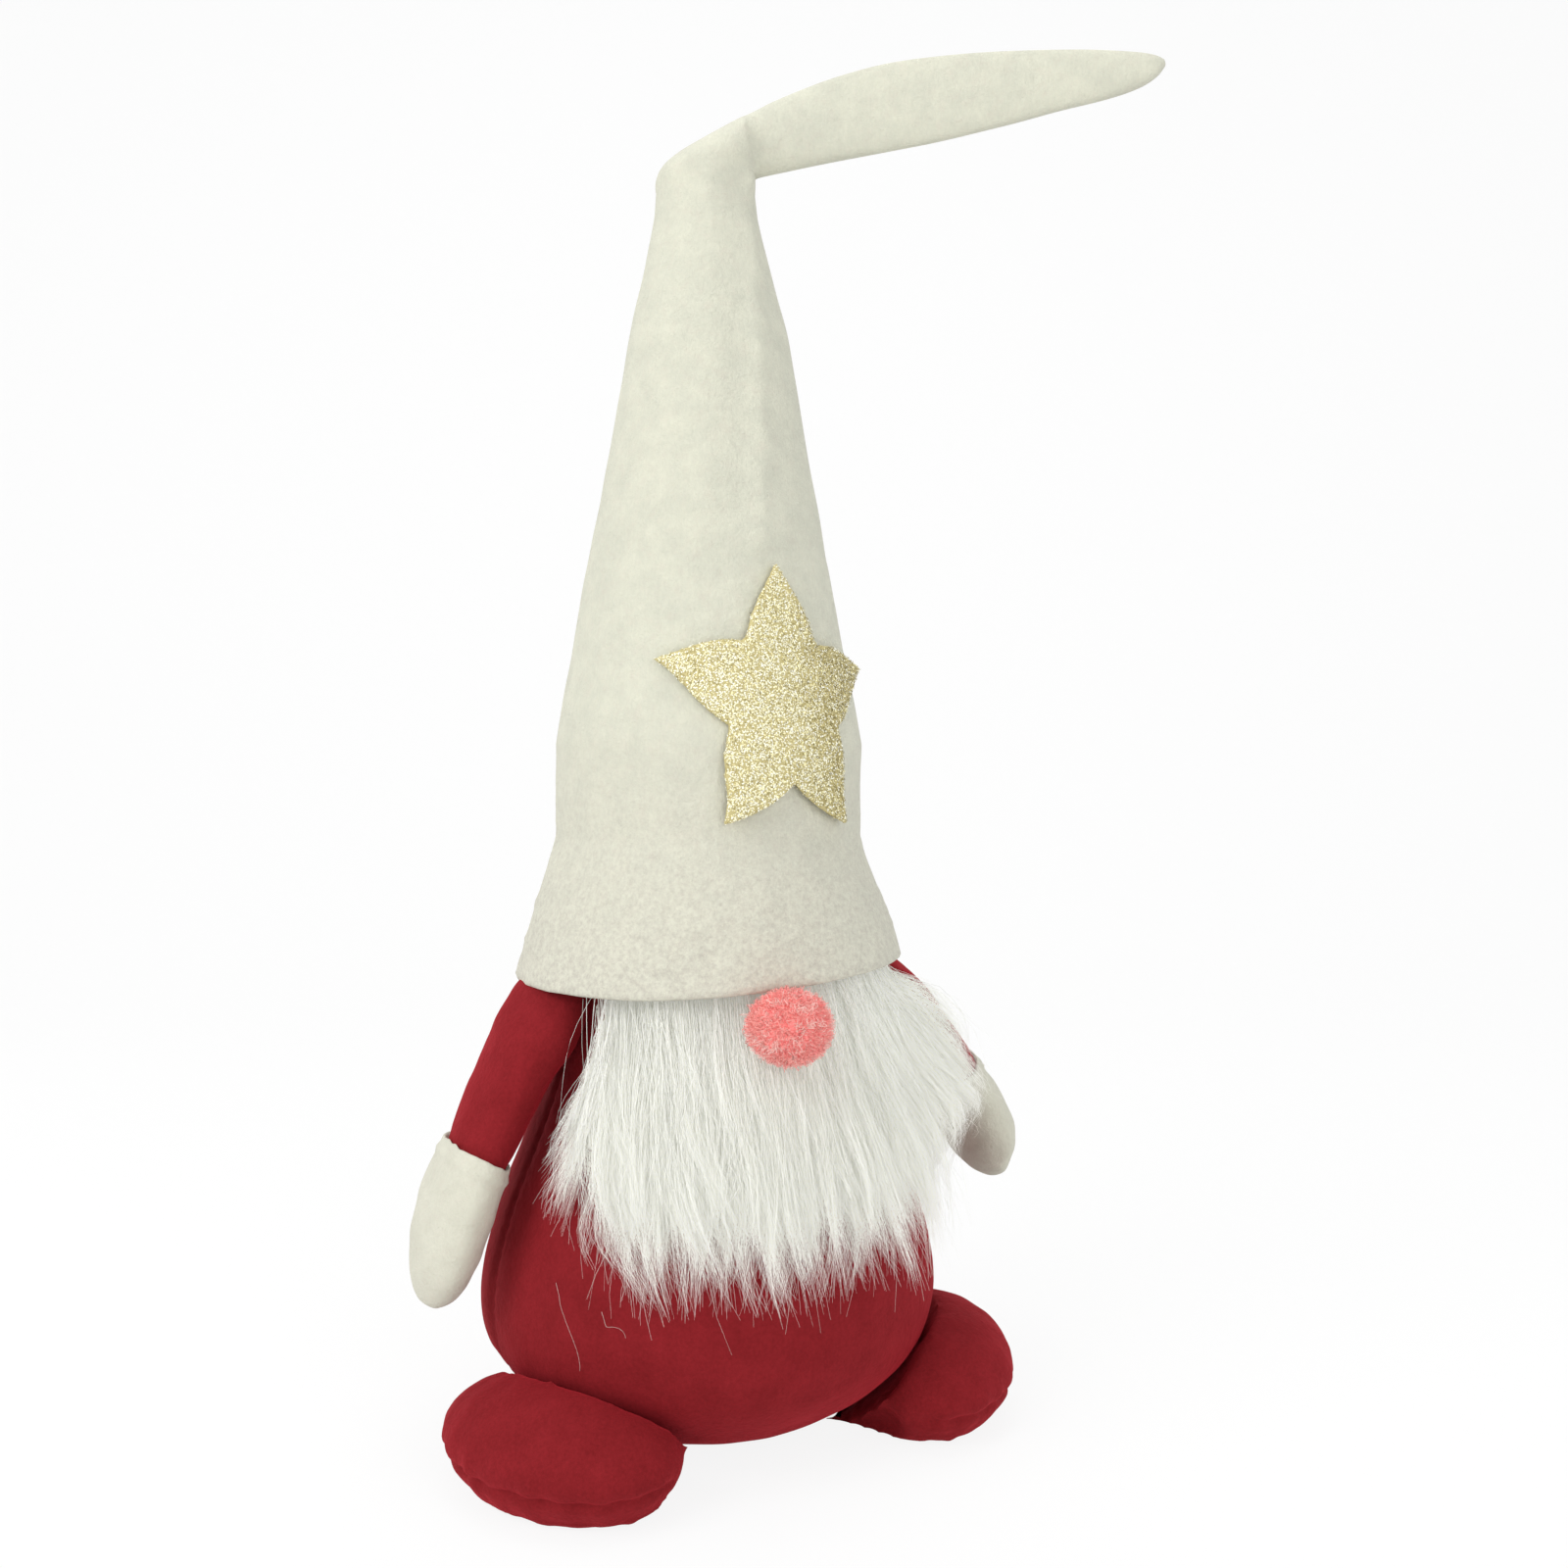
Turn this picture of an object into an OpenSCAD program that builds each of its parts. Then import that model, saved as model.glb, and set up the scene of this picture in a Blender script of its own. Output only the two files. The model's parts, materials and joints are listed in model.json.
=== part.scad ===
// Soft gnome ornament: stuffed body, two feet, two hinged arms, beard, pompom nose
// and a tall felt hat whose wired tip folds over.
// Origin: centre of the flat base on the ground. +Z up, the gnome faces -Y,
// +X is the gnome's left. All sizes in millimetres.

/* [Body] */
// Radius of the body at its widest
body_r = 80; // [65:1:95]
// Height of the widest ring above the ground
body_wide_z = 42.5; // [36:0.5:50]
// Radius of the flat base
base_r = 35; // [28:1:42]
// Radius of the neck and head
head_r = 51.2; // [42:0.2:60]
// Height at which the body has narrowed to the neck
neck_z = 150; // [135:1:165]
// Height at which the head starts to round over
head_z = 222; // [205:1:236]
// Height of the rounded crown above that
crown_h = 30; // [22:1:36]
// Thickness of the fleece
fleece_t = 1.2; // [0.8:0.1:2]

/* [Weight bag] */
// Radius of the bag of pellets in the base
bag_r = 33; // [24:1:36]
// Height of the bag
bag_h = 20; // [12:1:24]
// Thickness of the bag's cloth
bag_t = 0.8; // [0.5:0.1:1.5]

/* [Feet] */
// Distance of the toe from the body's axis
foot_reach = 109; // [100:1:120]
// Width of a foot
foot_w = 74; // [60:1:84]
// Height of a foot
foot_h = 34; // [28:1:40]
// Angle of each foot away from straight ahead
foot_splay = 60; // [40:1:65]
// Height of the seam between upper and sole
foot_seam_z = 11; // [8:0.5:14]

/* [Arms] */
// Height of the shoulder pivots
shoulder_z = 145; // [130:1:146]
// Length of an arm from its pivot to the end of the mitten
arm_l = 104; // [90:1:112]
// Half thickness of an arm, across the body's side
arm_a = 10.5; // [8:0.5:12]
// Half width of an arm, front to back
arm_b = 21; // [16:0.5:24]
// Distance from the pivot to the cuff
cuff_s = 57; // [45:1:70]
// Angle of the right arm out from the line that lies along the body's side
right_arm_lift = 8.4; // [5:0.1:22]
// Angle of the left arm out from the line that lies along the body's side
left_arm_lift = 19.9; // [7:0.1:27]
// Width of one cuff stitch
stitch_w = 0.8; // [0.5:0.1:1.2]

/* [Beard] */
// Height of the top of the beard, under the brim
beard_top_z = 155; // [150:1:160]
// Height of the lowest hair
beard_low_z = 62; // [50:1:80]
// Half angle that the beard covers around the front
beard_half = 58; // [45:1:60]
// Thickness of the fur's woven backing
backing_t = 1.2; // [0.8:0.1:2]
// Greatest thickness of the hair
pile_t = 15; // [8:1:20]

/* [Nose] */
// Radius of the pompom
nose_r = 13.5; // [10:0.5:15]
// Distance of the pompom's centre in front of the body's surface
nose_stand = 24.5; // [22.5:0.5:28]
// Height of the pompom's centre
nose_z = 143.5; // [138:0.5:146]
// Angle of the pompom away from straight ahead
nose_turn = -4; // [-8:1:8]

/* [Hat] */
// Height of the hat's raw lower edge
brim_z = 150; // [148:1:156]
// Outer radius of the brim
brim_r = 68; // [66:0.5:72]
// Height at which the brim's flare meets the head
flare_z = 200; // [190:1:206]
// Height of the top of the straight cone
cone_z = 420; // [380:1:440]
// Outer radius at the top of the straight cone
cone_r = 20.3; // [17:0.1:24]
// Thickness of the felt
felt_t = 2.5; // [1.5:0.1:3]

/* [Hat tip] */
// Height of the fold above the end of the cone
fold_rise = 20; // [18:1:26]
// Angle between the upright cone and the folded tip
fold_bend = 78; // [70:1:90]
// Direction in which the tip points, around the upright axis
tip_turn = -27; // [-60:1:30]
// Length of the tip from the fold to its rounded end
tip_l = 168; // [120:1:200]
// Greatest height of the tip's leaf
leaf_h = 29.5; // [24:0.5:34]
// Diameter of the shaping wire
wire_d = 1.2; // [0.8:0.1:2]

/* [Star] */
// Distance from the star's centre to its points
star_r = 47; // [30:1:50]
// Distance from the star's centre to its inner corners
star_inner_r = 26; // [15:1:28]
// Height of the star's centre
star_z = 244; // [225:1:300]
// Angle of the star away from straight ahead
star_turn = 5; // [-20:1:20]
// Thickness of the glitter foam
star_t = 2; // [1:0.1:3]

/* [Hidden] */
// Space left between soft pieces that touch
gap = 0.3;
// Narrowest section that a rounded end is drawn down to
end_min = 1.2;
// Steps around and along the soft lofts
around = 32;
along = 14;
half_steps = 14;
dome_steps = 14;
$fn = 96;

crown_z = head_z + crown_h;
hat_head_r = head_r + gap + felt_t;
cone_slope = (hat_head_r - cone_r) / (cone_z - head_z - crown_h / 3);
cone_low_z = head_z + crown_h / 3;
fold_z = cone_z + fold_rise;
wire_r = wire_d / 2;
bag_z = fleece_t + gap;
foot_from_x = foot_splay - 90;

// ---- Small helpers ----

function blend(a, b, t) = a + (b - a) * t;
function ease(t) = 0.5 - 0.5 * cos(180 * t);
function steps(n) = [for (i = [0 : n]) i / n];
function flat(lists) = [for (list = lists) for (item = list) item];
function turn_z(p, a) = [p.x * cos(a) - p.y * sin(a), p.x * sin(a) + p.y * cos(a), p.z];

// Height along a list of [place, value] pairs, with straight stretches between them
function along_list(table, s, i = 0) =
    s <= table[0][0] ? table[0][1] :
    i >= len(table) - 1 ? table[len(table) - 1][1] :
    s <= table[i + 1][0]
        ? blend(table[i][1], table[i + 1][1], ease((s - table[i][0]) / (table[i + 1][0] - table[i][0])))
        : along_list(table, s, i + 1);

// Faces of a sheet of rings of m points. Seen from the sheet's front they run clockwise
// when the rings do, and back turns them over.
function side_faces(rings, m, base, closed, back) =
    [for (i = [0 : rings - 2]) for (j = [0 : closed ? m - 1 : m - 2])
        let (a = base + i * m + j, b = base + i * m + (j + 1) % m, c = b + m, d = a + m)
        each back ? [[a, c, b], [a, d, c]] : [[a, b, c], [a, c, d]]];

// Does the middle of a sheet run anticlockwise, seen along the way from its first ring to its last?
function runs_back(sheet, front) =
    let (
        i = floor(len(sheet) / 2) - 1,
        j = floor(len(sheet[0]) / 2),
        here = sheet[i][j])
    cross(sheet[i][j + 1] - here, sheet[i + 1][j] - here) * front > 0;

function turned(sheet) = [for (ring = sheet) [for (j = [len(ring) - 1 : -1 : 0]) ring[j]]];
function middle(ring) = [for (p = ring) 1] * ring / len(ring);

// A closed solid through rings of points, with flat ends
module loft(given) {
    i = floor(len(given) / 2) - 1;
    j = floor(len(given[0]) / 2);
    rings = runs_back(given, given[i][j] - middle(given[i])) ? turned(given) : given;
    m = len(rings[0]);
    n = len(rings);
    first = [for (j = [m - 1 : -1 : 0]) j];
    last = [for (j = [0 : m - 1]) (n - 1) * m + j];
    polyhedron(points = flat(rings), faces = concat(side_faces(n, m, 0, true, false), [last, first]));
}

// A thin wall between two sheets of points of the same size. A closed sheet joins round on itself.
// A capped one also closes its last ring, on both sheets.
module wall(given_outer, given_inner, closed = true, capped = false) {
    i = floor(len(given_outer) / 2) - 1;
    j = floor(len(given_outer[0]) / 2);
    back = runs_back(given_outer, given_outer[i][j] - given_inner[i][j]);
    outer = back ? turned(given_outer) : given_outer;
    inner = back ? turned(given_inner) : given_inner;
    n = len(outer);
    m = len(outer[0]);
    shift = n * m;
    skip = closed ? m - 1 : m - 2;
    first_rim = [for (j = [0 : skip]) let (k = (j + 1) % m) each [[j, j + shift, k + shift], [j, k + shift, k]]];
    end = (n - 1) * m;
    last_rim = [for (j = [0 : skip]) let (k = (j + 1) % m)
        each [[end + j, end + k, end + k + shift], [end + j, end + k + shift, end + j + shift]]];
    caps = [[for (j = [0 : m - 1]) end + j], [for (j = [m - 1 : -1 : 0]) end + shift + j]];
    low_rim = [for (i = [0 : n - 2]) let (a = i * m, b = a + m)
        each [[a, b, b + shift], [a, b + shift, a + shift]]];
    high_rim = [for (i = [0 : n - 2]) let (a = i * m + m - 1, b = a + m)
        each [[a, b + shift, b], [a, a + shift, b + shift]]];
    polyhedron(
        points = concat(flat(outer), flat(inner)),
        faces = concat(
            side_faces(n, m, 0, closed, false),
            side_faces(n, m, shift, closed, true),
            first_rim,
            capped ? caps : last_rim,
            closed ? [] : concat(low_rim, high_rim)));
}

// ---- Body ----

// Outer radius of the body at height z
function body_at(z) =
    z <= body_wide_z ? base_r + (body_r - base_r) * sqrt(max(0, 1 - pow((body_wide_z - z) / body_wide_z, 2))) :
    z <= neck_z ? blend(body_r, head_r, ease((z - body_wide_z) / (neck_z - body_wide_z))) :
    z <= head_z ? head_r :
    head_r * sqrt(max(0, 1 - pow((z - head_z) / crown_h, 2)));

// Profile of the body, drawn inside its surface by the amount given
function body_profile(inside) = concat(
    [for (t = steps(dome_steps))
        let (a = 90 * t, z = body_wide_z * (1 - cos(a)))
        [max(base_r, body_at(z)) - inside, max(z, inside)]],
    [for (t = steps(dome_steps)) if (t > 0)
        let (z = blend(body_wide_z, neck_z, t))
        [body_at(z) - inside, z]],
    [for (t = steps(dome_steps))
        let (a = 90 * t)
        [(head_r - inside) * cos(a), head_z + (crown_h - inside) * sin(a)]]);

module body_panel(start) {
    outer = body_profile(0);
    inner = body_profile(fleece_t);
    rotate([0, 0, start])
        rotate_extrude(angle = 180)
            polygon(concat(outer, [for (i = [len(inner) - 1 : -1 : 0]) inner[i]]));
}

module body_front_panel() {
    color("crimson") body_panel(180);
}

module body_back_panel() {
    color("crimson") body_panel(0);
}

module base_panel() {
    color("darkred") cylinder(r = base_r - fleece_t - gap, h = fleece_t);
}

module body_stuffing() {
    inside = fleece_t + gap;
    profile = body_profile(inside);
    color("whitesmoke")
        difference() {
            rotate_extrude() polygon(concat([[0, inside]], profile));
            translate([0, 0, bag_z - gap]) cylinder(r = bag_r + gap, h = bag_h + 2 * gap);
        }
}

module weight_bag() {
    color("tan")
        translate([0, 0, bag_z])
            difference() {
                cylinder(r = bag_r, h = bag_h);
                translate([0, 0, bag_t]) cylinder(r = bag_r - bag_t, h = bag_h - 2 * bag_t);
            }
}

module weight_pellets() {
    color("ivory")
        translate([0, 0, bag_z + bag_t + gap])
            cylinder(r = bag_r - bag_t - gap, h = bag_h - 2 * (bag_t + gap));
}

// ---- Feet ----

// A foot wraps against the body, so its sections stand around the body's axis.
// Half the angle that a foot covers
foot_half = asin(foot_w / 2 / (foot_reach - foot_w / 2)) + 1.5;

// Angle around the body's rounded lower half at height z
function lean(z) = acos(1 - z / body_wide_z);

// One section of a foot at a share t (-1 to 1) of its half angle, shrunk by a wall.
// It runs from the inner edge of the sole outward, over the toe and down the body.
function foot_section(t, shrink) =
    let (
        full = sqrt(max(0, 1 - t * t)),
        top = 7 + (foot_h - 7) * pow(full, 0.7) - shrink,
        low = shrink,
        seam = min(foot_seam_z, top * 0.5),
        inner = function (z) body_at(z + gap) + 2.5 * gap + shrink,
        reach = inner(top) + 3 + (foot_reach - body_at(foot_h) - 2 * gap - 3) * pow(full, 0.8) - 2 * shrink)
    concat(
        [for (u = steps(3)) [blend(inner(low), reach - 5, u), low]],
        [[reach - 1.2, blend(low, seam, 0.4)], [reach, seam - gap / 2], [reach, seam + gap / 2]],
        [for (u = steps(6)) if (u > 0)
            [blend(inner(top), reach, cos(90 * u)), blend(seam, top, sin(90 * u))]],
        [for (u = steps(8)) if (u > 0 && u < 1)
            let (z = body_wide_z * (1 - cos(blend(lean(top), lean(low), u)))) [inner(z), z]]);

function foot_ring(t, shrink) =
    let (squeeze = foot_half * (1 - shrink / foot_w * 2))
    [for (p = foot_section(t, shrink)) turn_z([p[0], 0, p[1]], foot_from_x + t * squeeze)];

// Steps across a foot, closer together at its rounded sides
foot_steps = [for (u = steps(along)) -cos(180 * u) * 0.985];

module foot_upper() {
    // its share of the section: from the seam, over the top and down the body
    pick = function (ring) [for (j = [6 : len(ring) - 2]) ring[j]];
    outer = [for (t = foot_steps) pick(foot_ring(t, 0))];
    inner = [for (t = foot_steps) pick(foot_ring(t, fleece_t))];
    color("crimson") wall(outer, inner, closed = false);
}

module foot_sole() {
    // its share of the section: from the body's edge, along the ground and up to the seam
    pick = function (ring) [for (j = [0 : 5]) ring[j]];
    outer = [for (t = foot_steps) pick(foot_ring(t, 0))];
    inner = [for (t = foot_steps) pick(foot_ring(t, fleece_t))];
    color("darkred") wall(outer, inner, closed = false);
}

module foot_stuffing() {
    color("whitesmoke") loft([for (t = foot_steps) foot_ring(t * 0.97, fleece_t + gap)]);
}

module left_foot_upper() { foot_upper(); }
module left_foot_sole() { foot_sole(); }
module left_foot_stuffing() { foot_stuffing(); }
module right_foot_upper() { mirror([1, 0, 0]) foot_upper(); }
module right_foot_sole() { mirror([1, 0, 0]) foot_sole(); }
module right_foot_stuffing() { mirror([1, 0, 0]) foot_stuffing(); }

// ---- Arms ----

// Half thickness and half width along an arm, as shares of the full ones
arm_thick = [[0, 0.53], [0.1, 0.7], [0.3, 0.93], [0.55, 0.95], [0.8, 1.04], [0.93, 0.8], [1, 0.2]];
arm_wide = [[0, 0.72], [0.15, 0.9], [0.5, 0.95], [0.8, 1], [0.92, 0.78], [1, 0.2]];

// A point of an arm at distance s from the pivot and angle a around it
function arm_point(s, a, shrink) =
    let (
        share = s / arm_l,
        thick = max(end_min / 2, arm_a * along_list(arm_thick, share) - shrink),
        wide = max(end_min, arm_b * along_list(arm_wide, share) - shrink))
    [thick * cos(a), wide * sin(a), -s];

// Each pivot stands off the body by half the arm's thickness there
shoulder_x = body_at(shoulder_z) + arm_a * along_list(arm_thick, 0) + gap / 4;
// Tilt at which an arm lies along the body from its pivot to the widest ring
arm_rest_tilt = atan2(body_r + arm_a - shoulder_x, shoulder_z - body_wide_z);

// Places along the sleeve, and along the mitten with more of them near its end
sleeve_places = [for (t = steps(7)) cuff_s * t];
mitten_places = [for (t = steps(8)) blend(cuff_s + gap / 3, arm_l, sin(90 * t))];

// Half of a covering: side 1 is the outer layer and -1 the one against the body
module arm_layer(side, places) {
    first = side > 0 ? -89 : 91;
    outer = [for (s = places) [for (u = steps(half_steps)) arm_point(s, first + 178 * u, 0)]];
    inner = [for (s = places) [for (u = steps(half_steps)) arm_point(s, first + 178 * u, fleece_t)]];
    wall(outer, inner, closed = false);
}

module arm_stuffing_local() {
    count = len(mitten_places);
    places = concat(sleeve_places, [for (i = [1 : count - 3]) mitten_places[i]]);
    loft([for (s = places) [for (u = [0 : around - 1]) arm_point(s, 360 * u / around, fleece_t + 2 * gap)]]);
}

// Dashes of thread around the cuff, each a short bar lying on the sleeve
module cuff_stitches_local() {
    count = 18;
    s = cuff_s + 2.5;
    for (i = [0 : count - 1]) {
        p = arm_point(s, 360 * (i + 0.5) / count, -stitch_w / 2 - gap / 2);
        q = arm_point(s, 360 * (i + 0.5) / count + 4, -stitch_w / 2 - gap / 2);
        translate(p)
            rotate([0, 0, atan2(q.y - p.y, q.x - p.x)])
                cube([3, stitch_w, stitch_w], center = true);
    }
}

// Places an arm drawn along -Z at its shoulder. hand is 1 for the gnome's left.
module at_shoulder(hand) {
    tilt = arm_rest_tilt + (hand > 0 ? left_arm_lift : right_arm_lift);
    translate([hand * shoulder_x, 0, shoulder_z])
        rotate([0, -hand * tilt, 0])
            mirror([hand > 0 ? 0 : 1, 0, 0])
                children();
}

module sleeve_outer(hand) { color("crimson") at_shoulder(hand) arm_layer(1, sleeve_places); }
module sleeve_inner(hand) { color("crimson") at_shoulder(hand) arm_layer(-1, sleeve_places); }
module mitten_outer(hand) {
    color("beige") at_shoulder(hand) arm_layer(1, mitten_places);
}
module mitten_inner(hand) {
    color("beige") at_shoulder(hand) arm_layer(-1, mitten_places);
}
module arm_stuffing(hand) { color("whitesmoke") at_shoulder(hand) arm_stuffing_local(); }
module cuff_stitches(hand) { color("wheat") at_shoulder(hand) cuff_stitches_local(); }

module right_sleeve_outer() { sleeve_outer(-1); }
module right_sleeve_inner() { sleeve_inner(-1); }
module right_mitten_outer() { mitten_outer(-1); }
module right_mitten_inner() { mitten_inner(-1); }
module right_arm_stuffing() { arm_stuffing(-1); }
module right_cuff_stitches() { cuff_stitches(-1); }
module left_sleeve_outer() { sleeve_outer(1); }
module left_sleeve_inner() { sleeve_inner(1); }
module left_mitten_outer() { mitten_outer(1); }
module left_mitten_inner() { mitten_inner(1); }
module left_arm_stuffing() { arm_stuffing(1); }
module left_cuff_stitches() { cuff_stitches(1); }

// ---- Beard ----

backing_low_z = beard_low_z + 14;

nose_out = body_at(nose_z) + nose_stand;

// Half angle of the beard at a share v down it
function beard_angle(v) = beard_half * (v < 0.5 ? 1 : blend(1, 0.8, ease((v - 0.5) * 2)));

// Distance out at which a level line meets the pompom, with room to spare
function nose_limit(angle, z) =
    let (
        off = angle - nose_turn,
        r = nose_r + 1.2,
        under = r * r - pow(nose_out * sin(off), 2) - pow(z - nose_z, 2))
    under > 0 ? nose_out * cos(off) - sqrt(under) : body_r * 2;

// A point at a distance out, an angle from straight ahead and a height
function front_point(out, angle, z) = [out * sin(angle), -out * cos(angle), z];

// A sheet of points on the beard: lift is the distance off the body for a share u across and v down
function beard_sheet(low, cover, lift) =
    [for (v = steps(along)) [for (u = steps(half_steps * 2))
        let (
            z = blend(beard_top_z, low, v),
            angle = (2 * u - 1) * beard_angle(v) * cover,
            out = body_at(z) + 2 * gap + lift(2 * u - 1, v))
        front_point(min(out, nose_limit(angle, z)), angle, z)]];

// Thickness of the hair: thin at the edges and under the brim, full at the middle
function pile_at(u, v) =
    1.5 + (pile_t - 1.5) * pow(max(0, 1 - pow(abs(u), 3)), 0.5) * along_list([[0, 0.4], [0.12, 0.5], [0.45, 1], [0.8, 0.85], [1, 0.12]], v);

module beard_backing() {
    inner = beard_sheet(backing_low_z, 0.9, function (u, v) 0);
    outer = beard_sheet(backing_low_z, 0.9, function (u, v) backing_t);
    color("lightgray") wall(outer, inner, closed = false);
}

// The hair stands on the backing, and hangs past it at the sides and below
module beard_pile() {
    inner = beard_sheet(beard_low_z, 1, function (u, v) backing_t + gap);
    outer = beard_sheet(beard_low_z, 1, function (u, v) backing_t + gap + pile_at(u, v));
    color("white") wall(outer, inner, closed = false);
}

// ---- Hat ----

// Outer radius of the hat at height z, below the fold
function hat_at(z) =
    z <= flare_z ? blend(brim_r, hat_head_r, (z - brim_z) / (flare_z - brim_z)) :
    z <= cone_low_z ? hat_head_r :
    hat_head_r - cone_slope * (z - cone_low_z);

hat_heights = [brim_z, flare_z, cone_low_z, cone_z];

module hat_cone() {
    outer = [for (z = hat_heights) [hat_at(z), z]];
    inner = [for (i = [len(hat_heights) - 1 : -1 : 0]) [hat_at(hat_heights[i]) - felt_t, hat_heights[i]]];
    color("beige") rotate_extrude() polygon(concat(outer, inner));
}

// Angle up the crown at which the felt leaves the head
crown_free = 25;
wire_low_z = crown_z + 3 * gap;
wire_top_z = cone_z + 6;

// Loose filling from the crown up to the fold, with the shaping wire through its middle
module hat_stuffing() {
    lower = [for (t = steps(dome_steps)) let (a = blend(90, crown_free, t))
        [(head_r + gap) * cos(a), head_z + (crown_h + 2 * gap) * sin(a)]];
    edge_z = lower[dome_steps][1];
    top_z = cone_z - 4;
    upper = [for (z = [edge_z, top_z]) [hat_at(z) - felt_t - gap, z]];
    color("whitesmoke")
        difference() {
            rotate_extrude() polygon(concat(lower, upper, [[0, top_z]]));
            translate([0, 0, crown_z]) cylinder(r = wire_r + gap, h = cone_z - crown_z);
        }
}

module hat_wire() {
    color("silver") translate([0, 0, wire_low_z]) cylinder(r = wire_r, h = wire_top_z - wire_low_z);
}

// A star cut from glitter foam and wrapped on the hat
module star() {
    corners = [for (i = [0 : 9])
        let (r = i % 2 == 0 ? star_r : star_inner_r, a = 90 + 36 * i)
        [r * cos(a), r * sin(a)]];
    heights = [star_z - star_r - 5, cone_low_z, star_z + star_r + 5];
    near = [for (z = heights) [hat_at(z) + gap, z]];
    far = [for (i = [len(heights) - 1 : -1 : 0]) [hat_at(heights[i]) + gap + star_t, heights[i]]];
    color("gold")
        rotate([0, 0, star_turn])
            intersection() {
                rotate_extrude() polygon(concat(near, far));
                translate([0, 0, star_z]) rotate([90, 0, 0]) linear_extrude(height = brim_r + 20) polygon(corners);
            }
}

// ---- Nose ----

// A pompom glued on under the brim, pressed in where the brim crosses it
module nose_pompom() {
    color("salmon")
        difference() {
            rotate([0, 0, nose_turn]) translate([0, -nose_out, nose_z]) sphere(r = nose_r);
            rotate_extrude()
                polygon([
                    [brim_r - felt_t - 2 * gap, brim_z - gap],
                    [brim_r + gap, brim_z - gap],
                    [brim_r + gap, brim_z + nose_r],
                    [hat_head_r - felt_t, brim_z + nose_r]]);
        }
}

// ---- Fold and tip ----

fold_end_s = 14;
leaf_depth = 3.6;

// Half height and half depth of the tip at distance s past the fold
leaf_high = [[0, 0.6], [0.1, 0.72], [0.27, 0.93], [0.5, 1], [0.76, 0.72], [0.91, 0.5], [0.97, 0.33], [1, 0.1]];
leaf_deep = [[0, 18], [0.08, 17], [0.27, 9.5], [0.5, leaf_depth], [0.9, leaf_depth], [1, 1.6]];

// A ring of the folded tube: centre at distance s along a direction that leans by bend from upright
function tip_ring(s, bend, half_high, half_deep, n = around) =
    [for (j = [0 : n - 1])
        let (
            a = 360 * j / n,
            across = half_high * cos(a),
            deep = half_deep * sin(a),
            x = s * sin(bend) - across * cos(bend),
            z = s * cos(bend) + across * sin(bend))
        turn_z([x, -deep, fold_z + z], tip_turn)];

function leaf_ring(s, shrink) =
    tip_ring(s, fold_bend,
        max(0.6, leaf_h / 2 * along_list(leaf_high, s / tip_l) - shrink),
        max(0.5, along_list(leaf_deep, s / tip_l) - shrink));

module hat_tip() {
    places = [for (t = steps(along + 2)) blend(fold_end_s, tip_l, sin(90 * pow(t, 1.15)))];
    inside = [for (t = steps(along + 2)) blend(fold_end_s, tip_l - 2 * felt_t, sin(90 * pow(t, 1.15)))];
    outer = [for (s = places) leaf_ring(s, 0)];
    inner = [for (s = inside) leaf_ring(s, felt_t)];
    color("beige") wall(outer, inner, capped = true);
}

module tip_wire() {
    color("silver")
        translate([0, 0, fold_z])
            rotate([0, 0, tip_turn])
                rotate([0, fold_bend, 0])
                    translate([0, 0, fold_end_s - 4])
                        cylinder(r = wire_r * 0.75, h = tip_l * 0.88 - fold_end_s);
}

// The felt between the cone and the tip, bent over. It changes shape as the tip moves.
module hat_fold() {
    start_s = -(fold_rise - gap);
    end_s = fold_end_s - gap;
    rings = function (shrink) [for (t = steps(8))
        let (
            bend = fold_bend * ease(t),
            s = blend(start_s, end_s, t),
            high = blend(cone_r, leaf_h / 2 * 0.72, ease(t)) - shrink,
            deep = blend(cone_r, along_list(leaf_deep, fold_end_s / tip_l), ease(t)) - shrink)
        tip_ring(s, bend, high, deep)];
    color("beige") wall(rings(0), rings(felt_t));
}

body_front_panel();
body_back_panel();
base_panel();
body_stuffing();
weight_bag();
weight_pellets();
right_foot_upper();
right_foot_sole();
right_foot_stuffing();
left_foot_upper();
left_foot_sole();
left_foot_stuffing();
right_sleeve_outer();
right_sleeve_inner();
right_mitten_outer();
right_mitten_inner();
right_arm_stuffing();
right_cuff_stitches();
left_sleeve_outer();
left_sleeve_inner();
left_mitten_outer();
left_mitten_inner();
left_arm_stuffing();
left_cuff_stitches();
beard_backing();
beard_pile();
nose_pompom();
hat_cone();
hat_stuffing();
hat_wire();
star();
hat_fold();
hat_tip();
tip_wire();
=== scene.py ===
# %% [markdown]
# # A soft felt gnome
# The CAD model fixes where every piece sits and what turns about which hinge. This script dresses
# it: felt, brushed fleece, long hair, a pompom and a glitter star are built around that frame.
# All lengths are metres, +Z is up and the gnome faces -Y.

# %% Load the frame
import json
import math
import bpy
import numpy as np
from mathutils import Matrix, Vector, noise

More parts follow.
